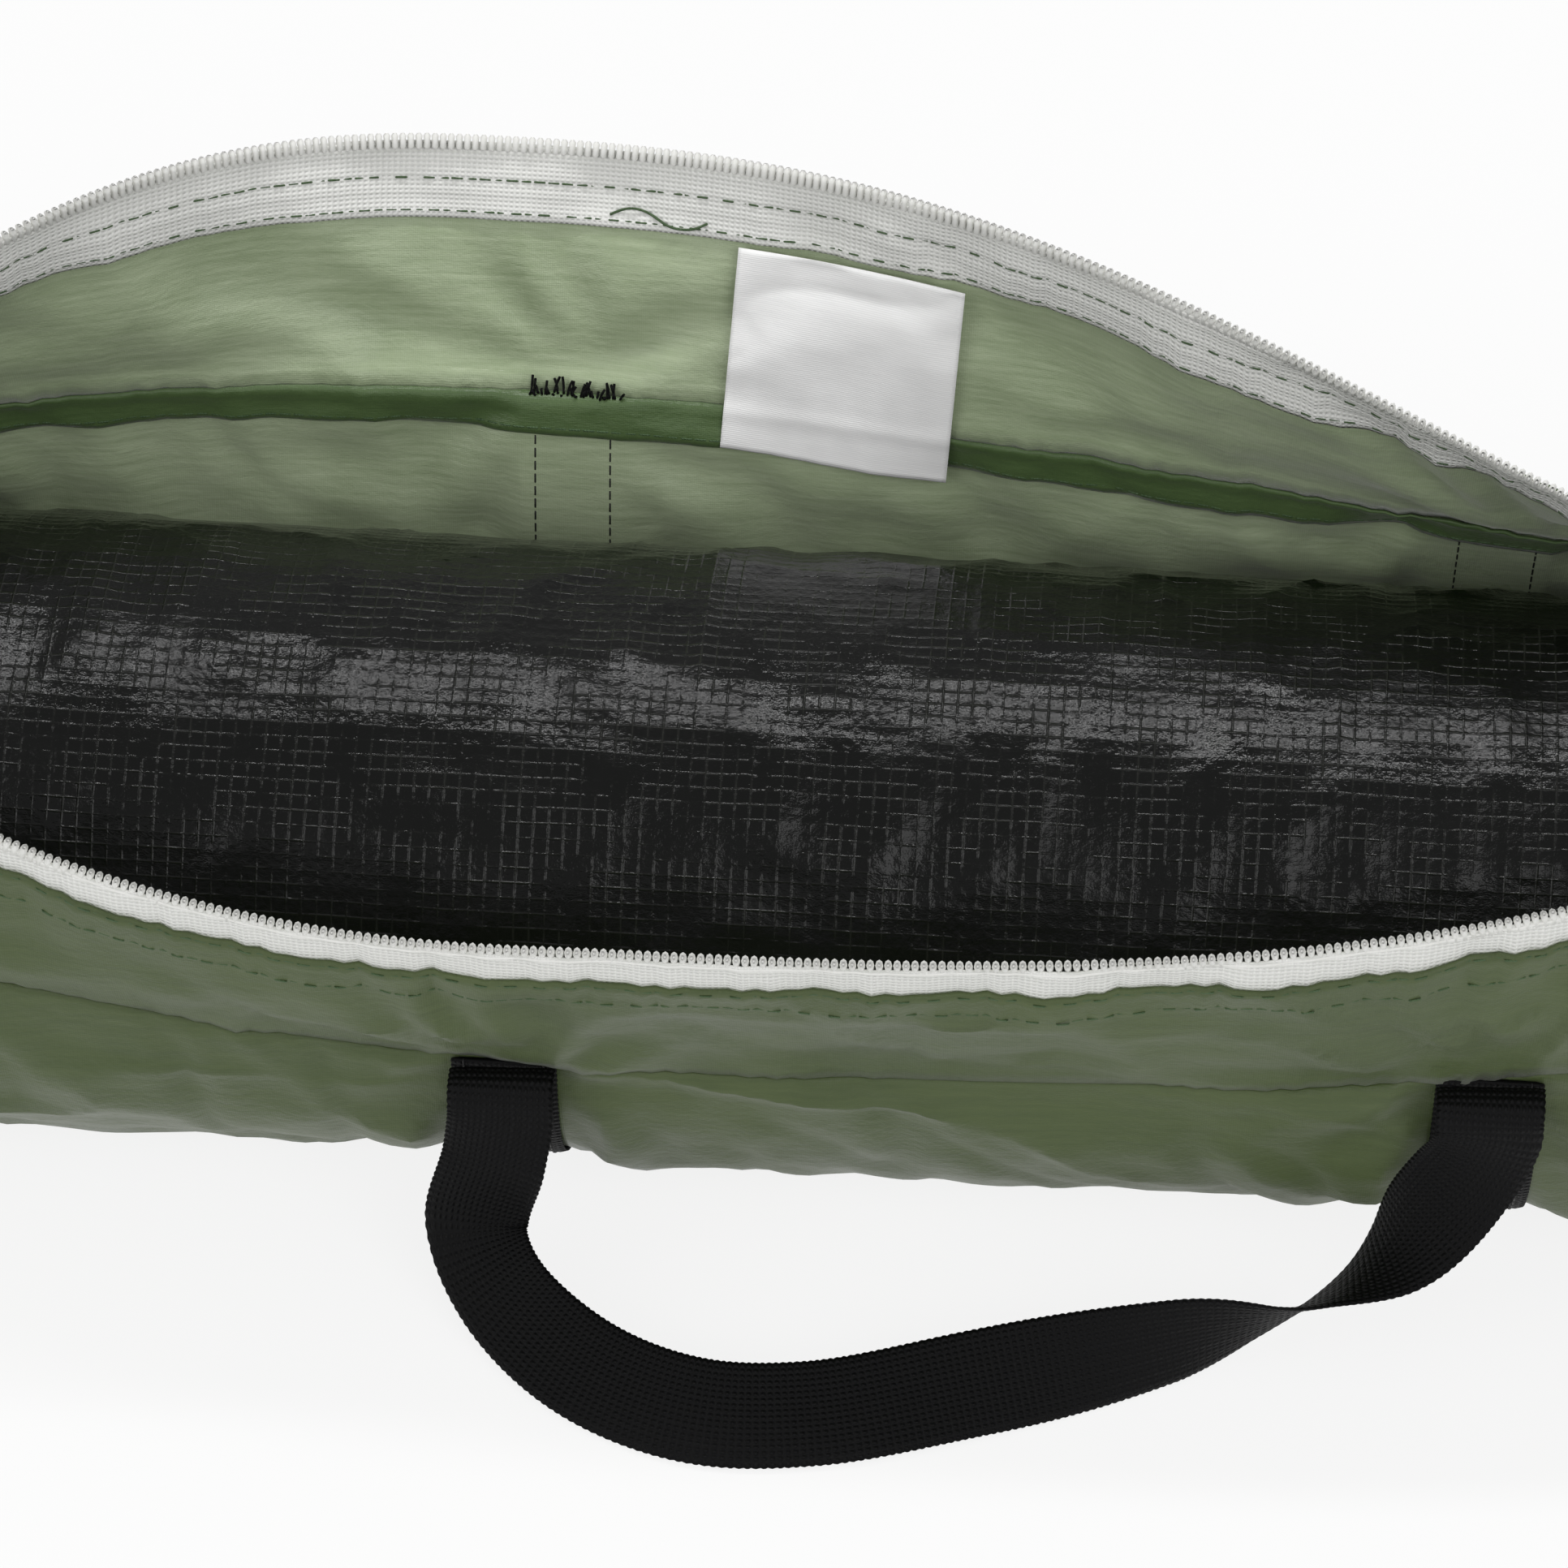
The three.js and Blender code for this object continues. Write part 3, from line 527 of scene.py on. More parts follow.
def makeObject(name, points, faces, uv=None, materials=(), materialIndex=None, smooth=True):
    mesh = bpy.data.meshes.new(name)
    mesh.from_pydata(np.asarray(points).reshape(-1, 3).tolist(), [], faces)
    for material in materials:
        mesh.materials.append(material)
    if materialIndex is not None:
        mesh.polygons.foreach_set("material_index", np.asarray(materialIndex, np.int32))
    if uv is not None:
        layer = mesh.uv_layers.new(name="cloth")
        corners = np.zeros(len(mesh.loops), np.int32)
        mesh.loops.foreach_get("vertex_index", corners)
        layer.data.foreach_set("uv", np.asarray(uv, np.float32).reshape(-1, 2)[corners].ravel())
    mesh.polygons.foreach_set("use_smooth", np.full(len(mesh.polygons), smooth))
    mesh.update()
    made = bpy.data.objects.new(name, mesh)
    scene.collection.objects.link(made)
    return made


def sheetMesh(name, outer, inner, uv, materials, flip=False):
    # a thin closed sheet from the grids of its two faces; the second material is the inner face's
    across, along = outer.shape[:2]
    count = across * along
    index = np.arange(count).reshape(across, along)
    quads = np.stack([index[:-1, :-1], index[1:, :-1], index[1:, 1:], index[:-1, 1:]], -1).reshape(-1, 4)
    back = quads[:, ::-1] + count
    loop = np.concatenate([index[:, 0], index[-1, 1:], index[-2::-1, -1], index[0, -2:0:-1]])
    after = np.roll(loop, -1)
    rim = np.stack([after, loop, loop + count, after + count], -1)
    faces = np.concatenate([quads, back, rim])
    if flip:
        faces = faces[:, ::-1]
    kinds = np.concatenate([np.zeros(len(quads)), np.ones(len(back)), np.zeros(len(rim))])
    if len(materials) < 2:
        kinds = kinds * 0
    points = np.concatenate([outer.reshape(-1, 3), inner.reshape(-1, 3)])
    return makeObject(name, points, faces.tolist(), np.concatenate([uv.reshape(-1, 2)] * 2), materials, kinds)


def clothPanel(name, xs, runsAt, outer, thick, materials):
    # runsAt(x) gives the signed runs of one column
    x = np.repeat(xs[:, None], len(runsAt(xs[0])), 1)
    run = np.stack([runsAt(one) for one in xs])
    lift = outer(x)
    uv = np.stack([x, run], -1)
    return sheetMesh(name, onWall(x, run, lift), onWall(x, run, lift - thick), uv, materials)


def joinAll(name, parts):
    bpy.ops.object.select_all(action="DESELECT")
    for part in parts:
        part.select_set(True)
    bpy.context.view_layer.objects.active = parts[0]
    bpy.ops.object.join()
    parts[0].name = name
    return parts[0]


def stationsX(pitch, low=None, high=None):
    low = -wall["half"] + 0.3 * mm if low is None else low
    high = wall["half"] - 0.3 * mm if high is None else high
    edges = [s * wall["strapX"] + e for s in (-1, 1) for e in (-0.0183, -0.0103, 0.0103, 0.0183)]
    even = np.linspace(low, high, round((high - low) / pitch) + 1)
    kept = [e for e in edges if low < e < high and np.abs(even - e).min() > pitch * 0.25]
    return np.sort(np.concatenate([even, kept]))


# ---- cloth simulation of the wall ----

clothRun = {"across": 180, "along": 112, "grow": 0.035, "frames": 16, "gravity": 0.5, "cap": 3.2 * mm}


def settleWall():
    # the wall's cloth is cut a little too large for its held edges, so it buckles into folds
    across, along = clothRun["across"], clothRun["along"]
    x = np.repeat(np.linspace(-wall["half"], wall["half"], across)[:, None], along, 1)
    share = np.repeat(np.linspace(-1, 1, along)[None, :], across, 0)
    run = np.where(share < 0, share * zipRun(front, x), share * zipRun(rear, x))
    start = onWall(x, run, 0)
    index = np.arange(across * along).reshape(across, along)
    quads = np.stack([index[:-1, :-1], index[1:, :-1], index[1:, 1:], index[:-1, 1:]], -1).reshape(-1, 4)
    cloth = makeObject("settlingWall", start, quads.tolist())
    level = np.abs(run)
    seam = np.where(run < 0, seamRun(front, x), seamRun(rear, x))
    held = (np.abs(share) > 0.985) | (np.abs(x) > wall["half"] - 0.004) | (level < wall["flatHalf"])
    held |= (overStrap(x) > 0.9) & (level < seam)
    held |= np.abs(level - seam) < 0.002
    group = cloth.vertex_groups.new(name="held")
    group.add(np.flatnonzero(held.ravel()).tolist(), 1.0, "REPLACE")
    low = (level < 0.11) & ~held
    group.add(np.flatnonzero(low.ravel()).tolist(), 0.25, "REPLACE")
    modifier = cloth.modifiers.new("settle", "CLOTH")
    settings = modifier.settings
    settings.vertex_group_mass = "held"
    settings.quality = 5
    settings.mass = 0.08
    settings.air_damping = 3
    settings.tension_stiffness = settings.compression_stiffness = 25
    settings.shear_stiffness = 6
    settings.bending_stiffness = 0.08
    settings.shrink_min = -clothRun["grow"]
    settings.effector_weights.gravity = clothRun["gravity"]
    modifier.point_cache.frame_start = 1
    modifier.point_cache.frame_end = clothRun["frames"]
    for number in range(1, clothRun["frames"] + 1):
        scene.frame_set(number)
    shape = cloth.evaluated_get(bpy.context.evaluated_depsgraph_get()).data
    end = np.zeros(across * along * 3, np.float32)
    shape.vertices.foreach_get("co", end)
    move = end.reshape(across, along, 3) - start
    outward = np.where((run < 0)[..., None], away(front, x, level), away(rear, x, level))
    offset = (move * outward).sum(-1)
    room = np.where(level < 0.118, 1.0 * mm, clothRun["cap"])
    offset = np.clip(offset, -room, clothRun["cap"])
    for _ in range(2):
        inside = offset[1:-1, 1:-1]
        around = offset[:-2, 1:-1] + offset[2:, 1:-1] + offset[1:-1, :-2] + offset[1:-1, 2:]
        offset[1:-1, 1:-1] = np.where(held[1:-1, 1:-1], inside, inside * 0.6 + around * 0.1)
    bpy.data.objects.remove(cloth)
    scene.frame_set(1)
    settled["offset"] = offset
    print("wall cloth settled, folds from", offset.min(), "to", offset.max())


settleWall()

# ---- cloth panels ----

panelSetting = {"pitch": 2.6 * mm, "runPitch": 3.2 * mm}


def bodyRuns(x):
    # unevenly many rows per part of the girth, the same count at every station
    low, high = -seamRun(front, x) + 0.15 * mm, seamRun(rear, x) - 0.15 * mm
    flat, crown = wall["flatHalf"], wall["crownRun"]
    parts = [np.linspace(low, -crown, 14), np.linspace(-crown, -flat, 26)[1:], np.linspace(-flat, flat, 7)[1:],
             np.linspace(flat, crown, 26)[1:], np.linspace(crown, high, 20)[1:]]
    return np.concatenate(parts)


def makeBody():
    xs = stationsX(panelSetting["pitch"])
    body = clothPanel("bagWall", xs, bodyRuns, lambda x: -wall["strapLift"] * overStrap(x), wall["cloth"],
                      [finishes["outer"], finishes["inner"]])
    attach(body, "bag")
    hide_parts("body_panel")
    girth = np.mean([seamRun(front, x) + seamRun(rear, x) for x in xs])
    return body


def flapRuns(side):
    def runs(x):
        low, high = seamRun(side, x) + 0.15 * mm, zipRun(side, x) - 0.0085
        return side["sign"] * np.concatenate([np.linspace(low, high - 0.0115, 11), np.linspace(high - 0.0115, high, 6)[1:]])
    return runs


def makeFlap(side, name, node):
    xs = stationsX(panelSetting["pitch"])
    flap = clothPanel(name, xs, flapRuns(side), lambda x: x * 0, wall["cloth"],
                      [finishes["outer"], finishes["inner"]])
    if side is front:
        flipFaces(flap)
    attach(flap, "bag")
    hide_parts(node)
    return flap


def flipFaces(made):
    made.data.flip_normals()


def endOutline(count):
    # the D-shaped outline of the bag's end, from the middle of the underside all the way round
    run = np.linspace(-wall["girth"] / 2, wall["girth"] / 2, count)
    level = np.abs(run)
    points = wallPoint(rear, np.full(count, wall["half"]), level, 0)
    points[:, 1] *= np.sign(run)
    return points


endSetting = {"bulge": 4 * mm, "crumple": 1.2 * mm, "rings": 26, "around": 110}


def makeEnd(hand, name, node):
    around, rings = endSetting["around"], endSetting["rings"]
    outline = endOutline(around)
    centre = np.array([wall["half"], 0, wall["corner"] * 1.15])
    share = np.linspace(0.02, 1, rings)[:, None, None]
    points = centre + (outline[None] - centre) * share
    y, z = points[..., 1], points[..., 2]
    crumple = fields[5](y / 0.02, z / 0.016) + 0.5 * fields[6](y / 0.009, z / 0.011)
    rim = 1 - share[..., 0] ** 3
    lift = endSetting["bulge"] * rim + endSetting["crumple"] * crumple * np.sqrt(np.clip(rim, 0, 1))
    outer, inner = points.copy(), points.copy()
    outer[..., 0] = hand * (wall["half"] + wall["cloth"] + lift)
    inner[..., 0] = hand * (wall["half"] + lift)
    panel = sheetMesh(name, outer, inner, points[..., 1:], [finishes["outer"], finishes["inner"]],
                      flip=hand < 0)
    bpy.context.view_layer.objects.active = panel
    closeMiddle(panel)
    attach(panel, "bag")
    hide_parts(node)
    return panel


def closeMiddle(made):
    # the rings start a little way from the centre: their seam is merged and the hole is filled
    import bmesh
    mesh = bmesh.new()
    mesh.from_mesh(made.data)
    bmesh.ops.remove_doubles(mesh, verts=mesh.verts, dist=0.02 * mm)
    doubled = [e for e in mesh.edges if len(e.link_faces) > 2]
    inner = {f for e in doubled for f in e.link_faces if f.calc_area() > 0 and len(
        [x for x in f.edges if len(x.link_faces) > 2]) >= 2}
    bmesh.ops.delete(mesh, geom=list(inner), context="FACES")
    holes = [e for e in mesh.edges if e.is_boundary]
    bmesh.ops.holes_fill(mesh, edges=holes, sides=0)
    bmesh.ops.recalc_face_normals(mesh, faces=mesh.faces)
    mesh.to_mesh(made.data)
    mesh.free()


makeBody()
makeFlap(front, "frontFlap", "front_top_panel")
makeFlap(rear, "rearFlap", "rear_top_panel")
makeEnd(-1, "leftEnd", "left_end_panel")
makeEnd(1, "rightEnd", "right_end_panel")
print("cloth panels made")


# ---- rows of teeth and stitches ----


def buildRowTree():
    # instances a small piece at an even pitch along paths that carry an outward direction
    tree = bpy.data.node_groups.new("rowAlongPath", "GeometryNodeTree")
    face = tree.interface
    face.new_socket("Geometry", in_out="INPUT", socket_type="NodeSocketGeometry")
    face.new_socket("Pitch", in_out="INPUT", socket_type="NodeSocketFloat")
    face.new_socket("Piece", in_out="INPUT", socket_type="NodeSocketObject")
    face.new_socket("Finish", in_out="INPUT", socket_type="NodeSocketMaterial")
    face.new_socket("Unevenness", in_out="INPUT", socket_type="NodeSocketFloat")
    face.new_socket("Seed", in_out="INPUT", socket_type="NodeSocketInt")
    face.new_socket("Geometry", in_out="OUTPUT", socket_type="NodeSocketGeometry")
    nodes = Tree(tree)
    given = nodes.add("NodeGroupInput")
    line = nodes.add("GeometryNodeMeshToCurve", {"Mesh": given.outputs["Geometry"]})
    even = nodes.add("GeometryNodeResampleCurve", {"Curve": line.outputs[0], "Length": given.outputs["Pitch"]},
                     mode="LENGTH")
    tangent = nodes.add("GeometryNodeInputTangent")
    outward = nodes.add("GeometryNodeInputNamedAttribute", {"Name": "outward"}, data_type="FLOAT_VECTOR")
    along = nodes.add("FunctionNodeAlignRotationToVector", {"Vector": tangent.outputs[0]}, axis="X")
    turned = nodes.add("FunctionNodeAlignRotationToVector",
                       {"Rotation": along.outputs[0], "Vector": outward.outputs[0]}, axis="Z", pivot_axis="X")
    piece = nodes.add("GeometryNodeObjectInfo", {"Object": given.outputs["Piece"]})
    least = nodes.add("ShaderNodeMath", {0: 1.0, 1: given.outputs["Unevenness"]}, operation="SUBTRACT")
    most = nodes.add("ShaderNodeMath", {0: 1.0, 1: given.outputs["Unevenness"]}, operation="ADD")
    size = nodes.add("FunctionNodeRandomValue",
                     {2: least.outputs[0], 3: most.outputs[0], "Seed": given.outputs["Seed"]}, data_type="FLOAT")
    row = nodes.add("GeometryNodeInstanceOnPoints",
                    {"Points": even.outputs[0], "Instance": piece.outputs["Geometry"],
                     "Rotation": turned.outputs[0], "Scale": size.outputs[1]})
    real = nodes.add("GeometryNodeRealizeInstances", {0: row.outputs[0]})
    coloured = nodes.add("GeometryNodeSetMaterial",
                         {"Geometry": real.outputs[0], "Material": given.outputs["Finish"]})
    nodes.add("NodeGroupOutput", {0: coloured.outputs[0]})
    return tree


rowTree = buildRowTree()


def rowsAlong(name, paths, piece, pitch, finish, unevenness=0.06, seed=3):
    # paths: list of (points, outward directions)
    points = np.concatenate([path for path, _ in paths])
    outward = np.concatenate([out for _, out in paths])
    edges, start = [], 0
    for path, _ in paths:
        edges += [(start + i, start + i + 1) for i in range(len(path) - 1)]
        start += len(path)
    mesh = bpy.data.meshes.new(name + "Path")
    mesh.from_pydata(points.tolist(), edges, [])
    mesh.attributes.new("outward", "FLOAT_VECTOR", "POINT").data.foreach_set(
        "vector", outward.astype(np.float32).ravel())
    carrier = bpy.data.objects.new(name + "Path", mesh)
    scene.collection.objects.link(carrier)
    modifier = carrier.modifiers.new("row", "NODES")
    modifier.node_group = rowTree
    values = {"Pitch": pitch, "Piece": piece, "Finish": finish, "Unevenness": unevenness, "Seed": seed}
    for item in rowTree.interface.items_tree:
        if item.name in values and item.in_out == "INPUT":
            modifier[item.identifier] = values[item.name]
    bpy.context.view_layer.update()
    result = bpy.data.meshes.new_from_object(carrier.evaluated_get(bpy.context.evaluated_depsgraph_get()))
    made = bpy.data.objects.new(name, result)
    scene.collection.objects.link(made)
    bpy.data.objects.remove(carrier)
    result.polygons.foreach_set("use_smooth", np.ones(len(result.polygons), bool))
    return made


def beadMesh(name, profile, sides, squash):
    # a closed bead along X from (place, radius) pairs, flattened in Z
    rings = [[(x, r * math.cos(a), r * math.sin(a) * squash)
              for a in np.arange(sides) * 2 * math.pi / sides] for x, r in profile]
    points = [p for ring in rings for p in ring]
    faces = [(i * sides + j, (i + 1) * sides + j, (i + 1) * sides + (j + 1) % sides, i * sides + (j + 1) % sides)
             for i in range(len(rings) - 1) for j in range(sides)]
    faces = [f[::-1] for f in faces]
    faces += [tuple(range(sides)), tuple(range(len(points) - 1, len(points) - sides - 1, -1))]
    return np.array(points), faces


def stitchPiece(length, thick):
    half = length / 2
    points, faces = beadMesh("stitch", [(-half, thick * 0.3), (-half * 0.8, thick * 0.5),
                                        (half * 0.8, thick * 0.5), (half, thick * 0.3)], 6, 0.9)
    points[:, 2] -= np.abs(points[:, 0] / half) ** 3 * thick * 0.75
    return makeObject("stitchPiece", points, faces)


stitch = {"pitch": 2.8 * mm, "length": 2.35 * mm, "thick": 0.42 * mm}
stitchMesh = stitchPiece(stitch["length"], stitch["thick"])


def wallPath(side, xs, run, out):
    # a path along the bag at the given run, standing out of the cloth
    level = run(xs) if callable(run) else np.full(len(xs), run)
    return surface(side, xs, level, out), away(side, xs, level)


def downPath(x, runs, out):
    # a path round the girth at one place along the bag; negative runs are on the front
    xs = np.full(len(runs), x)
    points = onWall(xs, runs, out)
    level = np.abs(runs)
    outward = np.where((runs < 0)[:, None], away(front, xs, level), away(rear, xs, level))
    return points, outward


# ---- zip ----

zipper = {
    "tapeWidth": 0.017,
    "tapeThick": 0.6 * mm,
    "tapeOut": -1.2 * mm,
    "toothPitch": 1.6 * mm,
    "toothReach": (3.7 * mm, 0.6 * mm),
    "start": -0.288,
    "end": 0.2827,
}


def zipLevel(side, depth):
    return lambda x: zipRun(side, x) - depth


def makeTape(side, name, node):
    xs = stationsX(panelSetting["pitch"])
    depths = np.concatenate([np.linspace(zipper["tapeWidth"], 0.0055, 11), np.linspace(0.0055, 0.0019, 6)[1:]])
    x = np.repeat(xs[:, None], len(depths), 1)
    run = zipRun(side, x) - depths
    out = zipper["tapeOut"]
    ribs = 0.18 * mm * np.cos(depths / 0.0017 * 2 * math.pi) * (depths < 0.0155)
    outer = surface(side, x, run, out + ribs * 0.3)
    inner = surface(side, x, run, out - zipper["tapeThick"] + ribs)
    uv = np.stack([x, run], -1)
    tape = sheetMesh(name, outer, inner, uv, [finishes["knit"]], flip=side is front)
    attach(tape, "bag")
    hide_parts(node)


def toothPiece():
    # one turn of the coil: a rounded loop that lies across the tape, with a thicker head
    far, near = zipper["toothReach"]
    profile = [(-far, 0.3 * mm), (-far + 0.4 * mm, 0.66 * mm), (-1.9 * mm, 0.62 * mm), (-near - 0.5 * mm, 0.72 * mm),
               (-near, 0.34 * mm)]
    points, faces = beadMesh("tooth", profile, 8, 1.55)
    points = np.stack([points[:, 1], -points[:, 0], points[:, 2]], -1)
    return makeObject("toothPiece", points, faces)


def makeCoil(side, name, node):
    tooth = toothPiece()
    xs = np.linspace(zipper["start"], zipper["end"], 900)
    if side is front:
        xs = xs[::-1] + zipper["toothPitch"] / 2  # the other side's teeth stand between these
    points, outward = wallPath(side, xs, zipLevel(side, 0.0), -1.5 * mm)
    coil = rowsAlong(name, [(points, outward)], tooth, zipper["toothPitch"], finishes["nylon"], 0.0)
    bpy.data.objects.remove(tooth)
    cordXs = np.linspace(zipper["start"], zipper["end"], 300)
    line, _ = wallPath(side, cordXs, zipLevel(side, 2.6 * mm), -1.5 * mm)
    coil = joinAll(name, [coil, tubeMesh("cord", line, 0.45 * mm, 6, finishes["nylon"])])
    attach(coil, "bag")
    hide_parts(node)


def frames(points, across):
    along = np.gradient(points, axis=0)
    along /= np.linalg.norm(along, axis=1, keepdims=True)
    across = across - along * (across * along).sum(1, keepdims=True)
    across /= np.linalg.norm(across, axis=1, keepdims=True)
    return along, across, np.cross(along, across)


def tubeMesh(name, points, radius, sides, material):
    points = np.asarray(points, float)
    lean = np.tile([0.12, 0.93, 0.35], (len(points), 1))
    along, across, up = frames(points, lean)
    angle = np.arange(sides) * 2 * math.pi / sides
    radius = np.broadcast_to(radius, len(points))[:, None, None]
    ring = across[:, None] * np.cos(angle)[None, :, None] + up[:, None] * np.sin(angle)[None, :, None]
    rings = points[:, None] + ring * radius
    faces = []
    for i in range(len(points) - 1):
        for j in range(sides):
            k = (j + 1) % sides
            faces.append((i * sides + j, (i + 1) * sides + j, (i + 1) * sides + k, i * sides + k)[::-1])
    last = (len(points) - 1) * sides
    faces += [tuple(range(sides))[::-1], tuple(range(last, last + sides))]
    length = np.concatenate([[0], np.cumsum(np.linalg.norm(np.diff(points, axis=0), axis=1))])
    uv = np.stack(np.broadcast_arrays(length[:, None], (angle / 1000)[None]), -1)
    return makeObject(name, rings, faces, uv, [material])


makeTape(front, "frontZipTape", "front_zip_tape")
makeTape(rear, "rearZipTape", "rear_zip_tape")
makeCoil(front, "frontZipCoil", "front_zip_coil")
makeCoil(rear, "rearZipCoil", "rear_zip_coil")


def finishedCopy(node, name, body, finish, bevel):
    # a CAD piece's own shape with its corners eased
    import bmesh
    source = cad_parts[node]
    data = source.data.copy()
    data.materials.clear()
    data.materials.append(finish)
    work = bmesh.new()
    work.from_mesh(data)
    bmesh.ops.remove_doubles(work, verts=work.verts, dist=0.001 * mm)
    bmesh.ops.dissolve_limit(work, angle_limit=0.02, verts=work.verts, edges=work.edges)
    if bevel:
        sharp = [e for e in work.edges if len(e.link_faces) == 2 and e.calc_face_angle() > 0.5]
        bmesh.ops.bevel(work, geom=sharp, offset=bevel, segments=2, affect="EDGES", profile=0.5, clamp_overlap=True)
    work.to_mesh(data)
    work.free()
    data.polygons.foreach_set("material_index", np.zeros(len(data.polygons), np.int32))
    made = bpy.data.objects.new(name, data)
    scene.collection.objects.link(made)
    data.polygons.foreach_set("use_smooth", np.zeros(len(data.polygons), bool))
    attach(made, body)
    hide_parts(node)
    return made


finishedCopy("zip_slider", "zipSlider", "slider", finishes["nickel"], 0.18 * mm)
finishedCopy("zip_pull_tab", "zipPull", "pull_tab", finishes["nickel"], 0.3 * mm)
for stopNode in ("front_zip_top_stop", "rear_zip_top_stop", "zip_bottom_stop"):
    finishedCopy(stopNode, "moulded_" + stopNode, "bag", finishes["nylon"], 0.3 * mm)
print("zip made")

# ---- webbing ----

webbing = {"width": 0.02, "thick": 1.2 * mm, "rib": 1.4 * mm, "scallop": 0.28 * mm, "step": 0.4 * mm}


def ribbon(name, points, across, thick=None):
    # a length of webbing with scalloped edges and raised ribs, along a path
    along, across, up = frames(points, across)
    length = np.concatenate([[0], np.cumsum(np.linalg.norm(np.diff(points, axis=0), axis=1))])
    beat = np.abs(np.sin(length / webbing["rib"] * math.pi))
    half = webbing["width"] / 2 - webbing["scallop"] * (1 - beat)
    share = np.linspace(-1, 1, 15)
    rows = 0.09 * mm * np.cos(share * 7 * math.pi)[None] * (0.4 + 0.6 * beat[:, None])
    edge = np.sqrt(np.clip(1 - share ** 8, 0.12, 1))[None]
    deep = (np.full(len(points), webbing["thick"]) if thick is None else thick)[:, None] / 2
    lift = deep * edge + rows * (np.abs(share) < 0.96)[None] - 0.09 * mm
    centre = points[:, None] + across[:, None] * (share[None, :, None] * half[:, None, None])
    top = centre + up[:, None] * lift[..., None]
    base = centre - up[:, None] * lift[..., None]
    uv = np.stack(np.broadcast_arrays(length[:, None], (share * webbing["width"] / 2)[None]), -1)
    return sheetMesh(name, top, base, uv, [finishes["webbing"]])


def catmull(points, count, power):
    # a curve through points: power 0.5 takes corners by their chord, 0 evenly
    points = np.asarray(points, float)
    first, last = 2 * points[0] - points[1], 2 * points[-1] - points[-2]
    padded = np.concatenate([[first], points, [last]])
    spans = len(points) - 1
    result = []
    for t in np.linspace(0, spans, count):
        i = min(int(t), spans - 1)
        w = t - i
        p0, p1, p2, p3 = padded[i:i + 4]
        a, b, c = (max(np.linalg.norm(q - p) ** power, 1e-9) if power else 1.0 for p, q in
                   ((p0, p1), (p1, p2), (p2, p3)))
        m1 = ((p1 - p0) / a - (p2 - p0) / (a + b) + (p2 - p1) / b) * b
        m2 = ((p2 - p1) / b - (p3 - p1) / (b + c) + (p3 - p2) / c) * b
        result.append((2 * w ** 3 - 3 * w ** 2 + 1) * p1 + (w ** 3 - 2 * w ** 2 + w) * m1
                      + (3 * w ** 2 - 2 * w ** 3) * p2 + (w ** 3 - w ** 2) * m2)
    return np.array(result)


rootFold = [(0, 1.1), (0.3, 3), (0, 5.4), (-2.8, 7.2), (-7, 8)]
frontHandle = [
    (-93, -74, 34, 0.95, -0.1, 0.15), (-96.5, -76, 17, 0.9, 0.1, 0.4), (-90.7, -86, 10.5, 0.6, 0.4, 0.65),
    (-74, -100.5, 7.5, 0.5, 0.62, 0.6), (-53, -108.5, 6.8, 0.1, 0.8, 0.58), (-30.5, -107, 6, 0, 0.86, 0.48),
    (0, -98.5, 7.5, -0.2, 0.75, 0.62), (37, -88, 10.9, -0.15, 0.15, 1), (59.5, -80.5, 13, 0, -0.6, 0.75),
    (75, -75.5, 23, 0.5, -0.6, 0.4), (88, -72.5, 44, 0.95, -0.25, -0.1),
]
rearHandle = [
    (-92, 84, 72, 1, 0, 0), (-87, 82, 54, 0.85, 0.5, -0.1), (-73, 80, 38, 0.4, 0.8, -0.4),
    (-46, 79, 28, 0, 0.8, -0.6), (-14, 78, 24, 0, 0.8, -0.6), (20, 77, 25, 0, 0.8, -0.6),
    (51, 76, 32, 0.1, 0.8, 0.6), (75, 75, 46, 0.5, 0.7, 0.5), (87, 73, 62, 0.9, 0.3, 0.2),
    (91, 71, 78, 1, 0, 0),
]


def rootPoints(side, x, line):
    points = []
    for along, out in rootFold:
        run = seamRun(side, x) + along * mm
        on = wallPoint(side, x, run, 0)
        direction = wallPoint(side, x, run, 1) - on
        direction -= line * (direction @ line)
        points.append(on + direction / np.linalg.norm(direction) * out * mm)
    return points


def makeHandle(side, name, node, body, free):
    ends = [wallPoint(side, x, seamRun(side, x), 1.1 * mm) for x in (-wall["strapX"], wall["strapX"])]
    line = (ends[1] - ends[0]) / np.linalg.norm(ends[1] - ends[0])
    left, right = (rootPoints(side, x, line) for x in (-wall["strapX"], wall["strapX"]))
    points = left + [np.array(stop[:3]) * mm for stop in free] + right[::-1]
    across = [line] * len(left) + [np.array(stop[3:]) for stop in free] + [line] * len(right)
    path = catmull(points, 4000, 0.5)
    wide = catmull(across, 4000, 0)
    length = np.concatenate([[0], np.cumsum(np.linalg.norm(np.diff(path, axis=0), axis=1))])
    even = np.linspace(0, length[-1], round(length[-1] / webbing["step"]))
    path = np.stack([np.interp(even, length, path[:, i]) for i in range(3)], -1)
    wide = np.stack([np.interp(even, length, wide[:, i]) for i in range(3)], -1)
    ends = np.minimum(even, even[-1] - even)
    thick = webbing["thick"] * (0.5 + 0.5 * np.clip(ends / 0.0012, 0, 1))
    handle = ribbon(name, path, wide, thick)
    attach(handle, body)
    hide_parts(node)


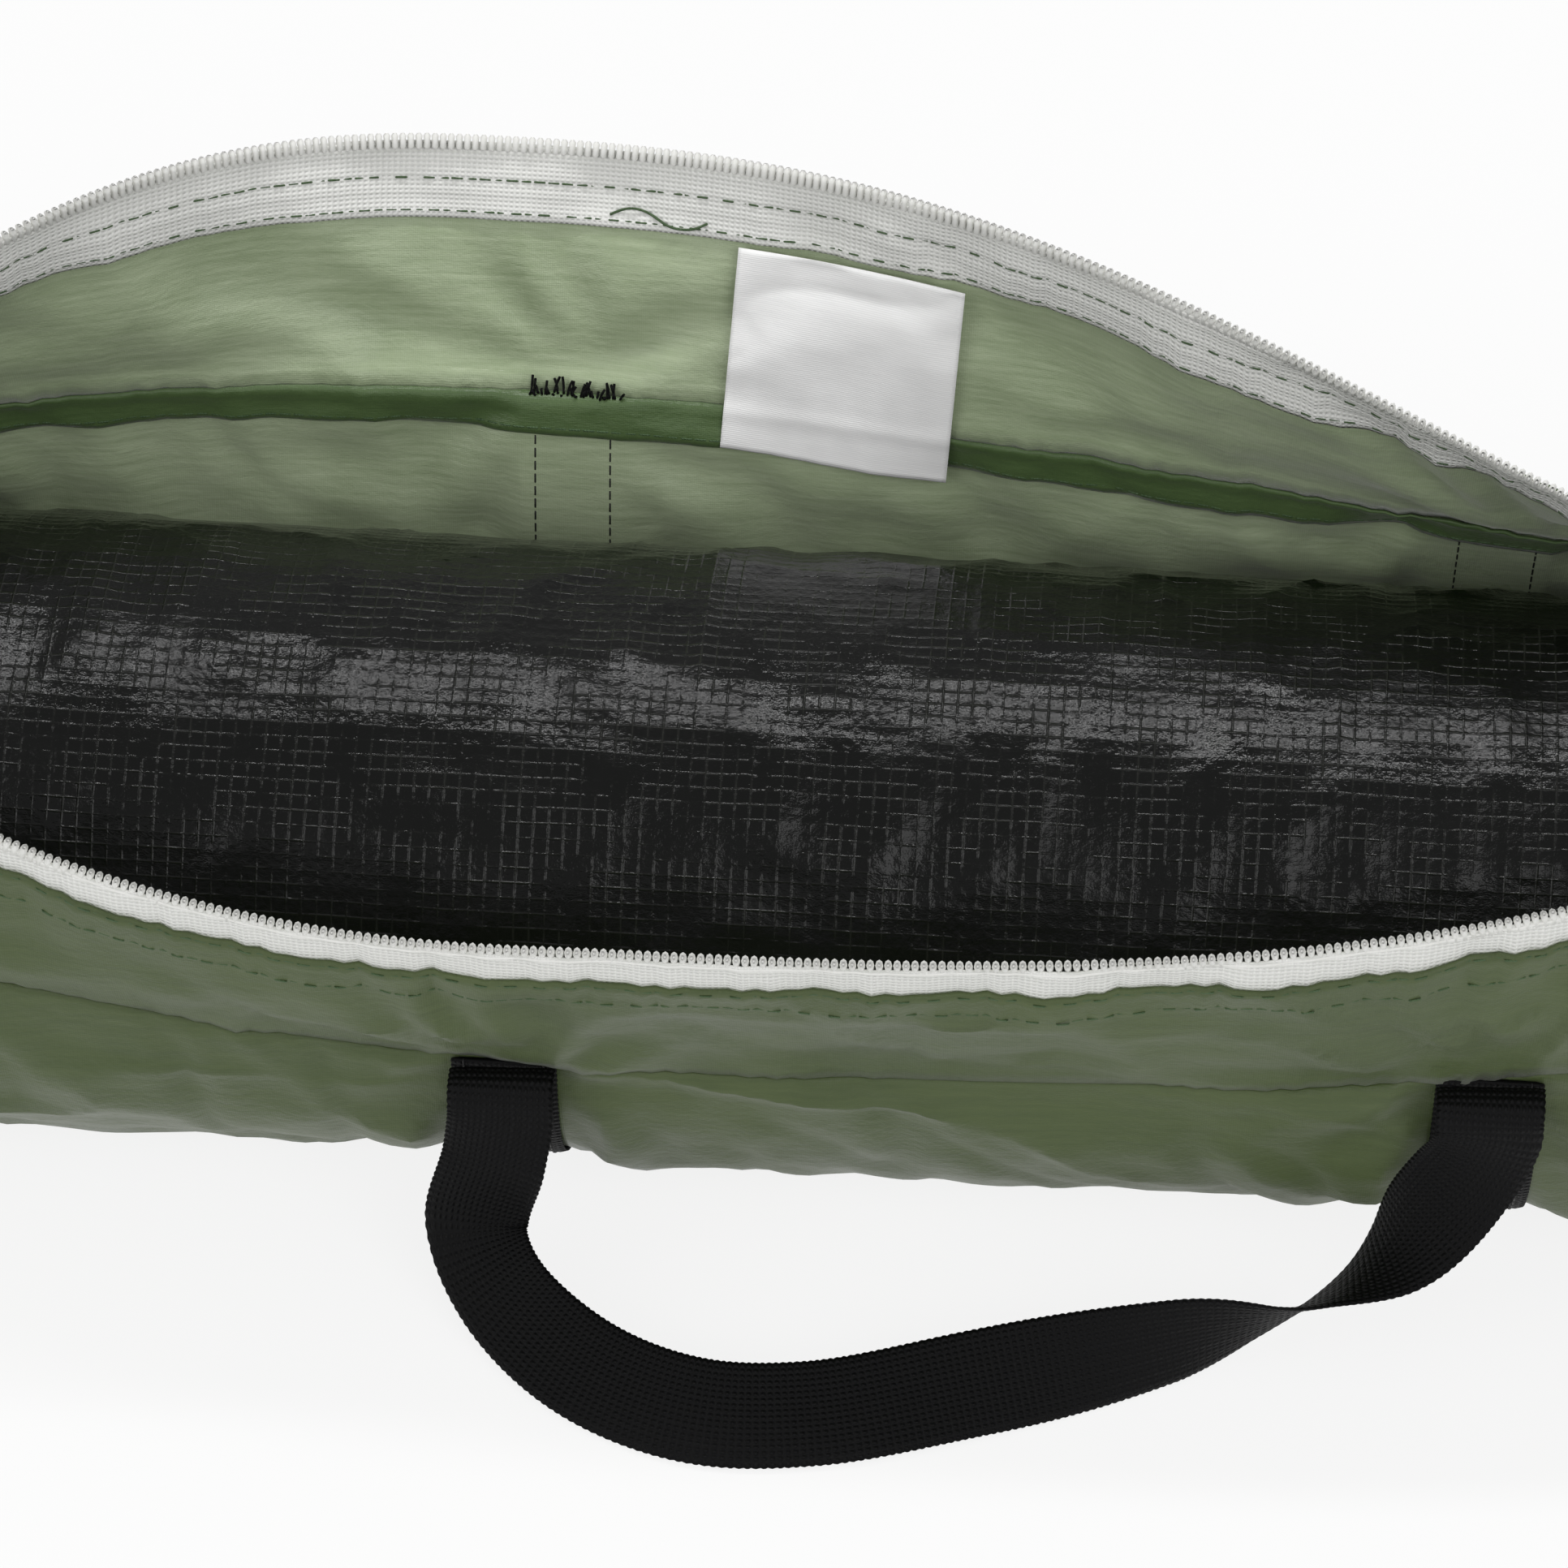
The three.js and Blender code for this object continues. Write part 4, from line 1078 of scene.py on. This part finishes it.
def makeStrap(x, name, node):
    lowRun, highRun = -float(seamRun(front, x)), float(seamRun(rear, x))
    runs = np.linspace(lowRun, highRun, round((highRun - lowRun) / webbing["step"]))
    xs = np.full(len(runs), x)
    level = np.abs(runs)
    points = np.where((runs < 0)[:, None], wallPoint(front, xs, level, -0.6 * mm), wallPoint(rear, xs, level, -0.6 * mm))
    strap = ribbon(name, points, np.tile([1.0, 0, 0], (len(runs), 1)))
    if insideOut(strap):
        flipFaces(strap)
    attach(strap, "bag")
    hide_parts(node)


def insideOut(made):
    import bmesh
    work = bmesh.new()
    work.from_mesh(made.data)
    volume = work.calc_volume(signed=True)
    work.free()
    return volume < 0


makeHandle(front, "frontHandle", "front_handle", "front_handle", frontHandle)
makeHandle(rear, "rearHandle", "rear_handle", "rear_handle", rearHandle)
makeStrap(-wall["strapX"], "leftStrap", "left_strap")
makeStrap(wall["strapX"], "rightStrap", "right_strap")
print("webbing made")

# ---- label ----

label = {"x": -0.037, "width": 0.045, "length": 0.042, "top": 17.8 * mm, "thick": 0.35 * mm, "out": -1.35 * mm,
         "curl": 1.2 * mm, "turn": 0.06}


def makeLabel():
    across, down = np.meshgrid(np.linspace(-1, 1, 46), np.linspace(0, 1, 44), indexing="ij")
    low = label["top"] + label["length"] * down
    x = label["x"] + across * label["width"] / 2 - label["turn"] * down * label["length"]
    run = zipRun(rear, x) - low - label["turn"] * across * label["width"] / 2 * down
    hang = label["curl"] * (down ** 2 * (0.6 + 0.5 * np.sin(2.2 * across + 0.6)))
    lift = foldsAt(rear, x, run) + settleOffset(rear, x, run)
    lift = np.minimum(lift.min() * 0.5 + lift * 0.5, lift) * (down > 0.02)
    out = label["out"] - hang
    outer = wallPoint(rear, x, run, out + lift)
    inner = wallPoint(rear, x, run, out + lift - label["thick"])
    uv = np.stack([across * label["width"] / 2, down * label["length"]], -1)
    tag = sheetMesh("label", outer, inner, uv, [finishes["satin"]])
    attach(tag, "label")
    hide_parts("label")


makeLabel()
print("label made")

# ---- rolled shelter ----

roll = {"girth": 0.359, "flatHalf": 0.020, "bottom": 2.7 * mm, "left": -0.278, "right": 0.220, "wrap": 8 * mm,
        "sheetPitch": 1.5 * mm, "film": 0.35 * mm, "canopyPitch": 2.1 * mm, "canopyFilm": 0.5 * mm,
        "core": (0.052, 0.023)}


def rollOutline(share, depth):
    # a point of the roll's section, share of the way round from the underside's rear, depth inside the surface
    corner = (roll["girth"] - (2 + math.pi) * roll["flatHalf"]) / (2 * math.pi)
    way = (share % 1) * roll["girth"]
    flat, crown = roll["flatHalf"], corner + roll["flatHalf"]
    arc = corner * math.pi / 2
    first = np.clip(way - flat, 0, arc) / corner
    second = np.clip(way - flat - arc, 0, crown * math.pi) / crown
    third = np.clip(way - flat - arc - crown * math.pi, 0, arc) / corner
    angle = -math.pi / 2 + first + second + third
    base = np.where(way < flat, way, np.where(way > roll["girth"] - flat, way - roll["girth"],
                    np.where(first < math.pi / 2, flat, flat * np.cos(angle.clip(0, math.pi)))))
    y = np.where((first >= math.pi / 2) & (third <= 0), 0, np.where(way > roll["girth"] / 2, -flat, flat))
    y = np.where((way < flat) | (way > roll["girth"] - flat), base, y)
    radius = np.where((first >= math.pi / 2) & (third <= 0), crown, corner) - depth
    return np.stack([y + radius * np.cos(angle), roll["bottom"] + corner + radius * np.sin(angle)], -1)


def coreOutline(share):
    corner = (roll["girth"] - (2 + math.pi) * roll["flatHalf"]) / (2 * math.pi)
    angle = -math.pi / 2 + (share % 1) * 2 * math.pi
    c, s = np.cos(angle), np.sin(angle)
    a, b = roll["core"][0] / 2 + 1.2 * mm, roll["core"][1] / 2 + 1.2 * mm
    size = (np.abs(c / a) ** 5 + np.abs(s / b) ** 5) ** (-1 / 5)
    return np.stack([c * size, roll["bottom"] + corner - 0.4 * mm + s * size], -1)


def creaseFilm(x, way):
    tight = ridges(fields[2], x / 0.024 + way / 0.05, way / 0.012 - x / 0.06, 6)
    cross = ridges(fields[3], x / 0.011, way / 0.034 + x / 0.03, 7)
    soft = fields[0](x / 0.09, way / 0.03)
    fine = fields[4](x / 0.007, way / 0.009)
    return 0.9 * mm * soft + 0.8 * mm * (tight - 0.3) + 0.7 * mm * (cross - 0.3) + 0.22 * mm * fine


def spiralSheet(name, turns, depths, xs, film, finish, section, start=0.0, crease=0.0):
    # a sheet rolled up: depths gives how far inside each turn lies
    share = np.linspace(0, turns, round(turns * depths["around"]) + 1)
    depth = depths["from"] + share * depths["pitch"]
    x = np.repeat(xs[:, None], len(share), 1)
    way = np.repeat((share * roll["girth"])[None], len(xs), 0)
    lift = creaseFilm(x, way) * crease if crease else way * 0
    floor = np.clip((section(share + start, depth)[:, 1] - roll["bottom"] - depth) / 0.01, 0, 1)[None]
    lift = np.clip(lift, -1.2 * mm, 1.0 * mm) * (0.15 + 0.85 * floor)
    outer, inner = [], []
    for i in range(len(xs)):
        outer.append(section(share + start, depth - lift[i]))
        inner.append(section(share + start, depth + film - lift[i]))
    outer = np.concatenate([x[..., None], np.array(outer)], -1)
    inner = np.concatenate([x[..., None], np.array(inner)], -1)
    made = sheetMesh(name, outer, inner, np.stack([x, way], -1), [finish])
    if insideOut(made):
        flipFaces(made)
    length = np.linalg.norm(np.diff(outer[0], axis=0), axis=1).sum()
    return made, length


def makeRoll():
    left, right = roll["left"], roll["right"]
    xs = np.linspace(left, right, 210)
    outerSheet, length = spiralSheet("groundsheet", 1.12, {"around": 150, "from": 0.4 * mm, "pitch": roll["sheetPitch"]},
                                     xs, roll["film"], finishes["poly"], rollOutline, start=0.14, crease=1.0)
    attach(outerSheet, "roll")
    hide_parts("groundsheet_roll")
    ends = np.concatenate([[0, 0.002, 0.006, 0.014], np.linspace(0.04, 0.458, 8), [0.484, 0.492, 0.496, 0.498]])
    wrapped, length = spiralSheet("groundsheetTurns", 4, {"around": 90, "from": 2.1 * mm, "pitch": 1.45 * mm},
                                  left + ends, roll["film"], finishes["poly"], rollOutline, start=0.26, crease=0.3)
    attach(wrapped, "roll")

    turns = 11
    outside = roll["wrap"] + 0.6 * mm

    def section(share, depth):
        into = np.clip((depth - outside) / (turns * roll["canopyPitch"]), 0, 1)[:, None]
        around = rollOutline(share, 0 * depth + outside)
        crumple = 0.5 * mm * fields[6](share * 9, depth / 0.002)[:, None]
        centre = np.array([0, roll["bottom"] + 0.0412])
        point = around * (1 - into) + coreOutline(share) * into
        inward = (centre - point) / np.linalg.norm(centre - point, axis=1, keepdims=True)
        return point + inward * crumple

    share = np.linspace(0, turns, turns * 56 + 1)
    depth = outside + share * roll["canopyPitch"]
    middle = section(share + 0.5, depth)
    along = np.gradient(middle, axis=0)
    normal = np.stack([along[:, 1], -along[:, 0]], -1)
    normal /= np.linalg.norm(normal, axis=1, keepdims=True)
    x = np.repeat((left + 1 * mm + ends * 0.996)[:, None], len(share), 1)
    wander = 1.1 * mm * fields[1](share * 3, 2.5)[None] * np.sign(x + 0.03)
    half = roll["canopyFilm"] / 2

    def face(offset):
        flat = np.repeat((middle + normal * offset)[None], len(x), 0)
        return np.concatenate([(x + wander)[..., None], flat], -1)

    length = np.linalg.norm(np.diff(middle, axis=0), axis=1).sum()
    uv = np.stack([x, np.repeat((share * 0.2)[None], len(x), 0)], -1)
    canopy = sheetMesh("shelterCanopy", face(half), face(-half), uv, [finishes["canopy"]])
    if insideOut(canopy):
        flipFaces(canopy)
    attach(canopy, "roll")
    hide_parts("canopy_roll")


makeRoll()
for number in (1, 2):
    for part in (1, 2, 3):
        finishedCopy(f"pole_{number}_section_{part}", f"pole{number}Section{part}", "roll",
                     finishes["fibreglass"], 0.2 * mm)
    for part in (1, 2):
        finishedCopy(f"pole_{number}_ferrule_{part}", f"pole{number}Ferrule{part}", "roll",
                     finishes["steel"], 0.2 * mm)
    finishedCopy(f"pole_{number}_shock_cord", f"pole{number}ShockCord", "roll", finishes["shock"], 0)
for number in range(1, 5):
    finishedCopy(f"peg_{number}", f"peg{number}", "roll", finishes["steel"], 0)
finishedCopy("peg_pouch", "pegPouch", "roll", finishes["canopy"], 0.3 * mm)
print("rolled shelter made")

# ---- seams and stitching ----


def seamBand(side, name):
    # the seam allowance that lies down the inside of the wall
    xs = stationsX(panelSetting["pitch"])
    drop = np.linspace(-0.6 * mm, 7.6 * mm, 8)
    x = np.repeat(xs[:, None], len(drop), 1)
    wave = 0.5 * mm * fields[1](x / 0.013, 4.2)
    run = seamRun(side, x) - drop - wave * (drop / 0.0076)
    lift = -wall["strapLift"] * overStrap(x) * (drop > 0) - wall["cloth"] - 0.25 * mm
    gather = 0.25 * mm * np.abs(fields[3](x / 0.0045, drop / 0.006))
    outer = surface(side, x, run, lift)
    inner = surface(side, x, run, lift - 0.5 * mm - gather)
    band = sheetMesh(name, outer, inner, np.stack([x, run], -1), [finishes["seam"]], flip=side is front)
    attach(band, "bag")
    return band


def sewRows():
    xs = np.linspace(-0.297, 0.297, 500)
    inside = -wall["cloth"] - 0.25 * mm - 0.75 * mm
    tapeInside = zipper["tapeOut"] - zipper["tapeThick"] - 0.1 * mm
    green, black = [], []
    for side in (front, rear):
        for depth in (9.2 * mm, 15.6 * mm):
            green.append(wallPath(side, xs, zipLevel(side, depth), 0.12 * mm))
            points, out = wallPath(side, xs, zipLevel(side, depth), tapeInside)
            green.append((points, -out))
        points, out = wallPath(side, xs, lambda x, s=side: seamRun(s, x) - 6.4 * mm,
                               inside)
        green.append((points - out * (wall["strapLift"] * overStrap(xs))[:, None], -out))
    for x in (-wall["strapX"], wall["strapX"]):
        lowRun, highRun = -float(seamRun(front, x)) + 0.001, float(seamRun(rear, x)) - 0.001
        runs = np.linspace(lowRun, highRun, 400)
        for shift in (-7.5 * mm, 7.5 * mm):
            black.append(downPath(x + shift, runs, 0.1 * mm))
            points, out = downPath(x + shift, runs, -wall["strapLift"] - wall["cloth"] - 0.1 * mm)
            black.append((points, -out))
    for name, paths, finish in (("greenStitching", green, "greenThread"), ("blackStitching", black, "blackThread")):
        rows = rowsAlong(name, paths, stitchMesh, stitch["pitch"], finishes[finish])
        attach(rows, "bag")
    bpy.data.objects.remove(stitchMesh)


for bandSide, bandName in ((rear, "rearSeamBand"), (front, "frontSeamBand")):
    seamBand(bandSide, bandName)
sewRows()


def looseEnds():
    # a thread tail left on the rear tape, and the frayed end of the left strap inside the bag
    along = np.linspace(-0.0855, -0.066, 60)
    level = zipRun(rear, along) - 0.0145 + 0.0016 * np.sin((along + 0.0855) * 330)
    tail = tubeMesh("threadTail", surface(rear, along, level, -2.3 * mm - 0.4 * mm * np.sin(along * 900)),
                    0.28 * mm, 6, finishes["greenThread"])
    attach(tail, "bag")
    random = np.random.RandomState(5)
    strands = []
    for x in np.linspace(-0.1005, -0.0825, 34):
        high = random.uniform(1.5, 4.5) * mm
        lean = random.uniform(-1.2, 1.2, 2) * mm
        t = np.linspace(0, 1, 6)
        xs = x + lean[0] * t ** 2
        run = seamRun(rear, xs) - 1.2 * mm + high * t
        out = -1.9 * mm - np.abs(lean[1]) * t ** 2
        strands.append(tubeMesh("strand", surface(rear, xs, run, out), 0.28 * mm, 5, finishes["webbing"]))
    fray = joinAll("frayedStrapEnd", strands)
    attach(fray, "bag")


looseEnds()
print("seams and stitching made")
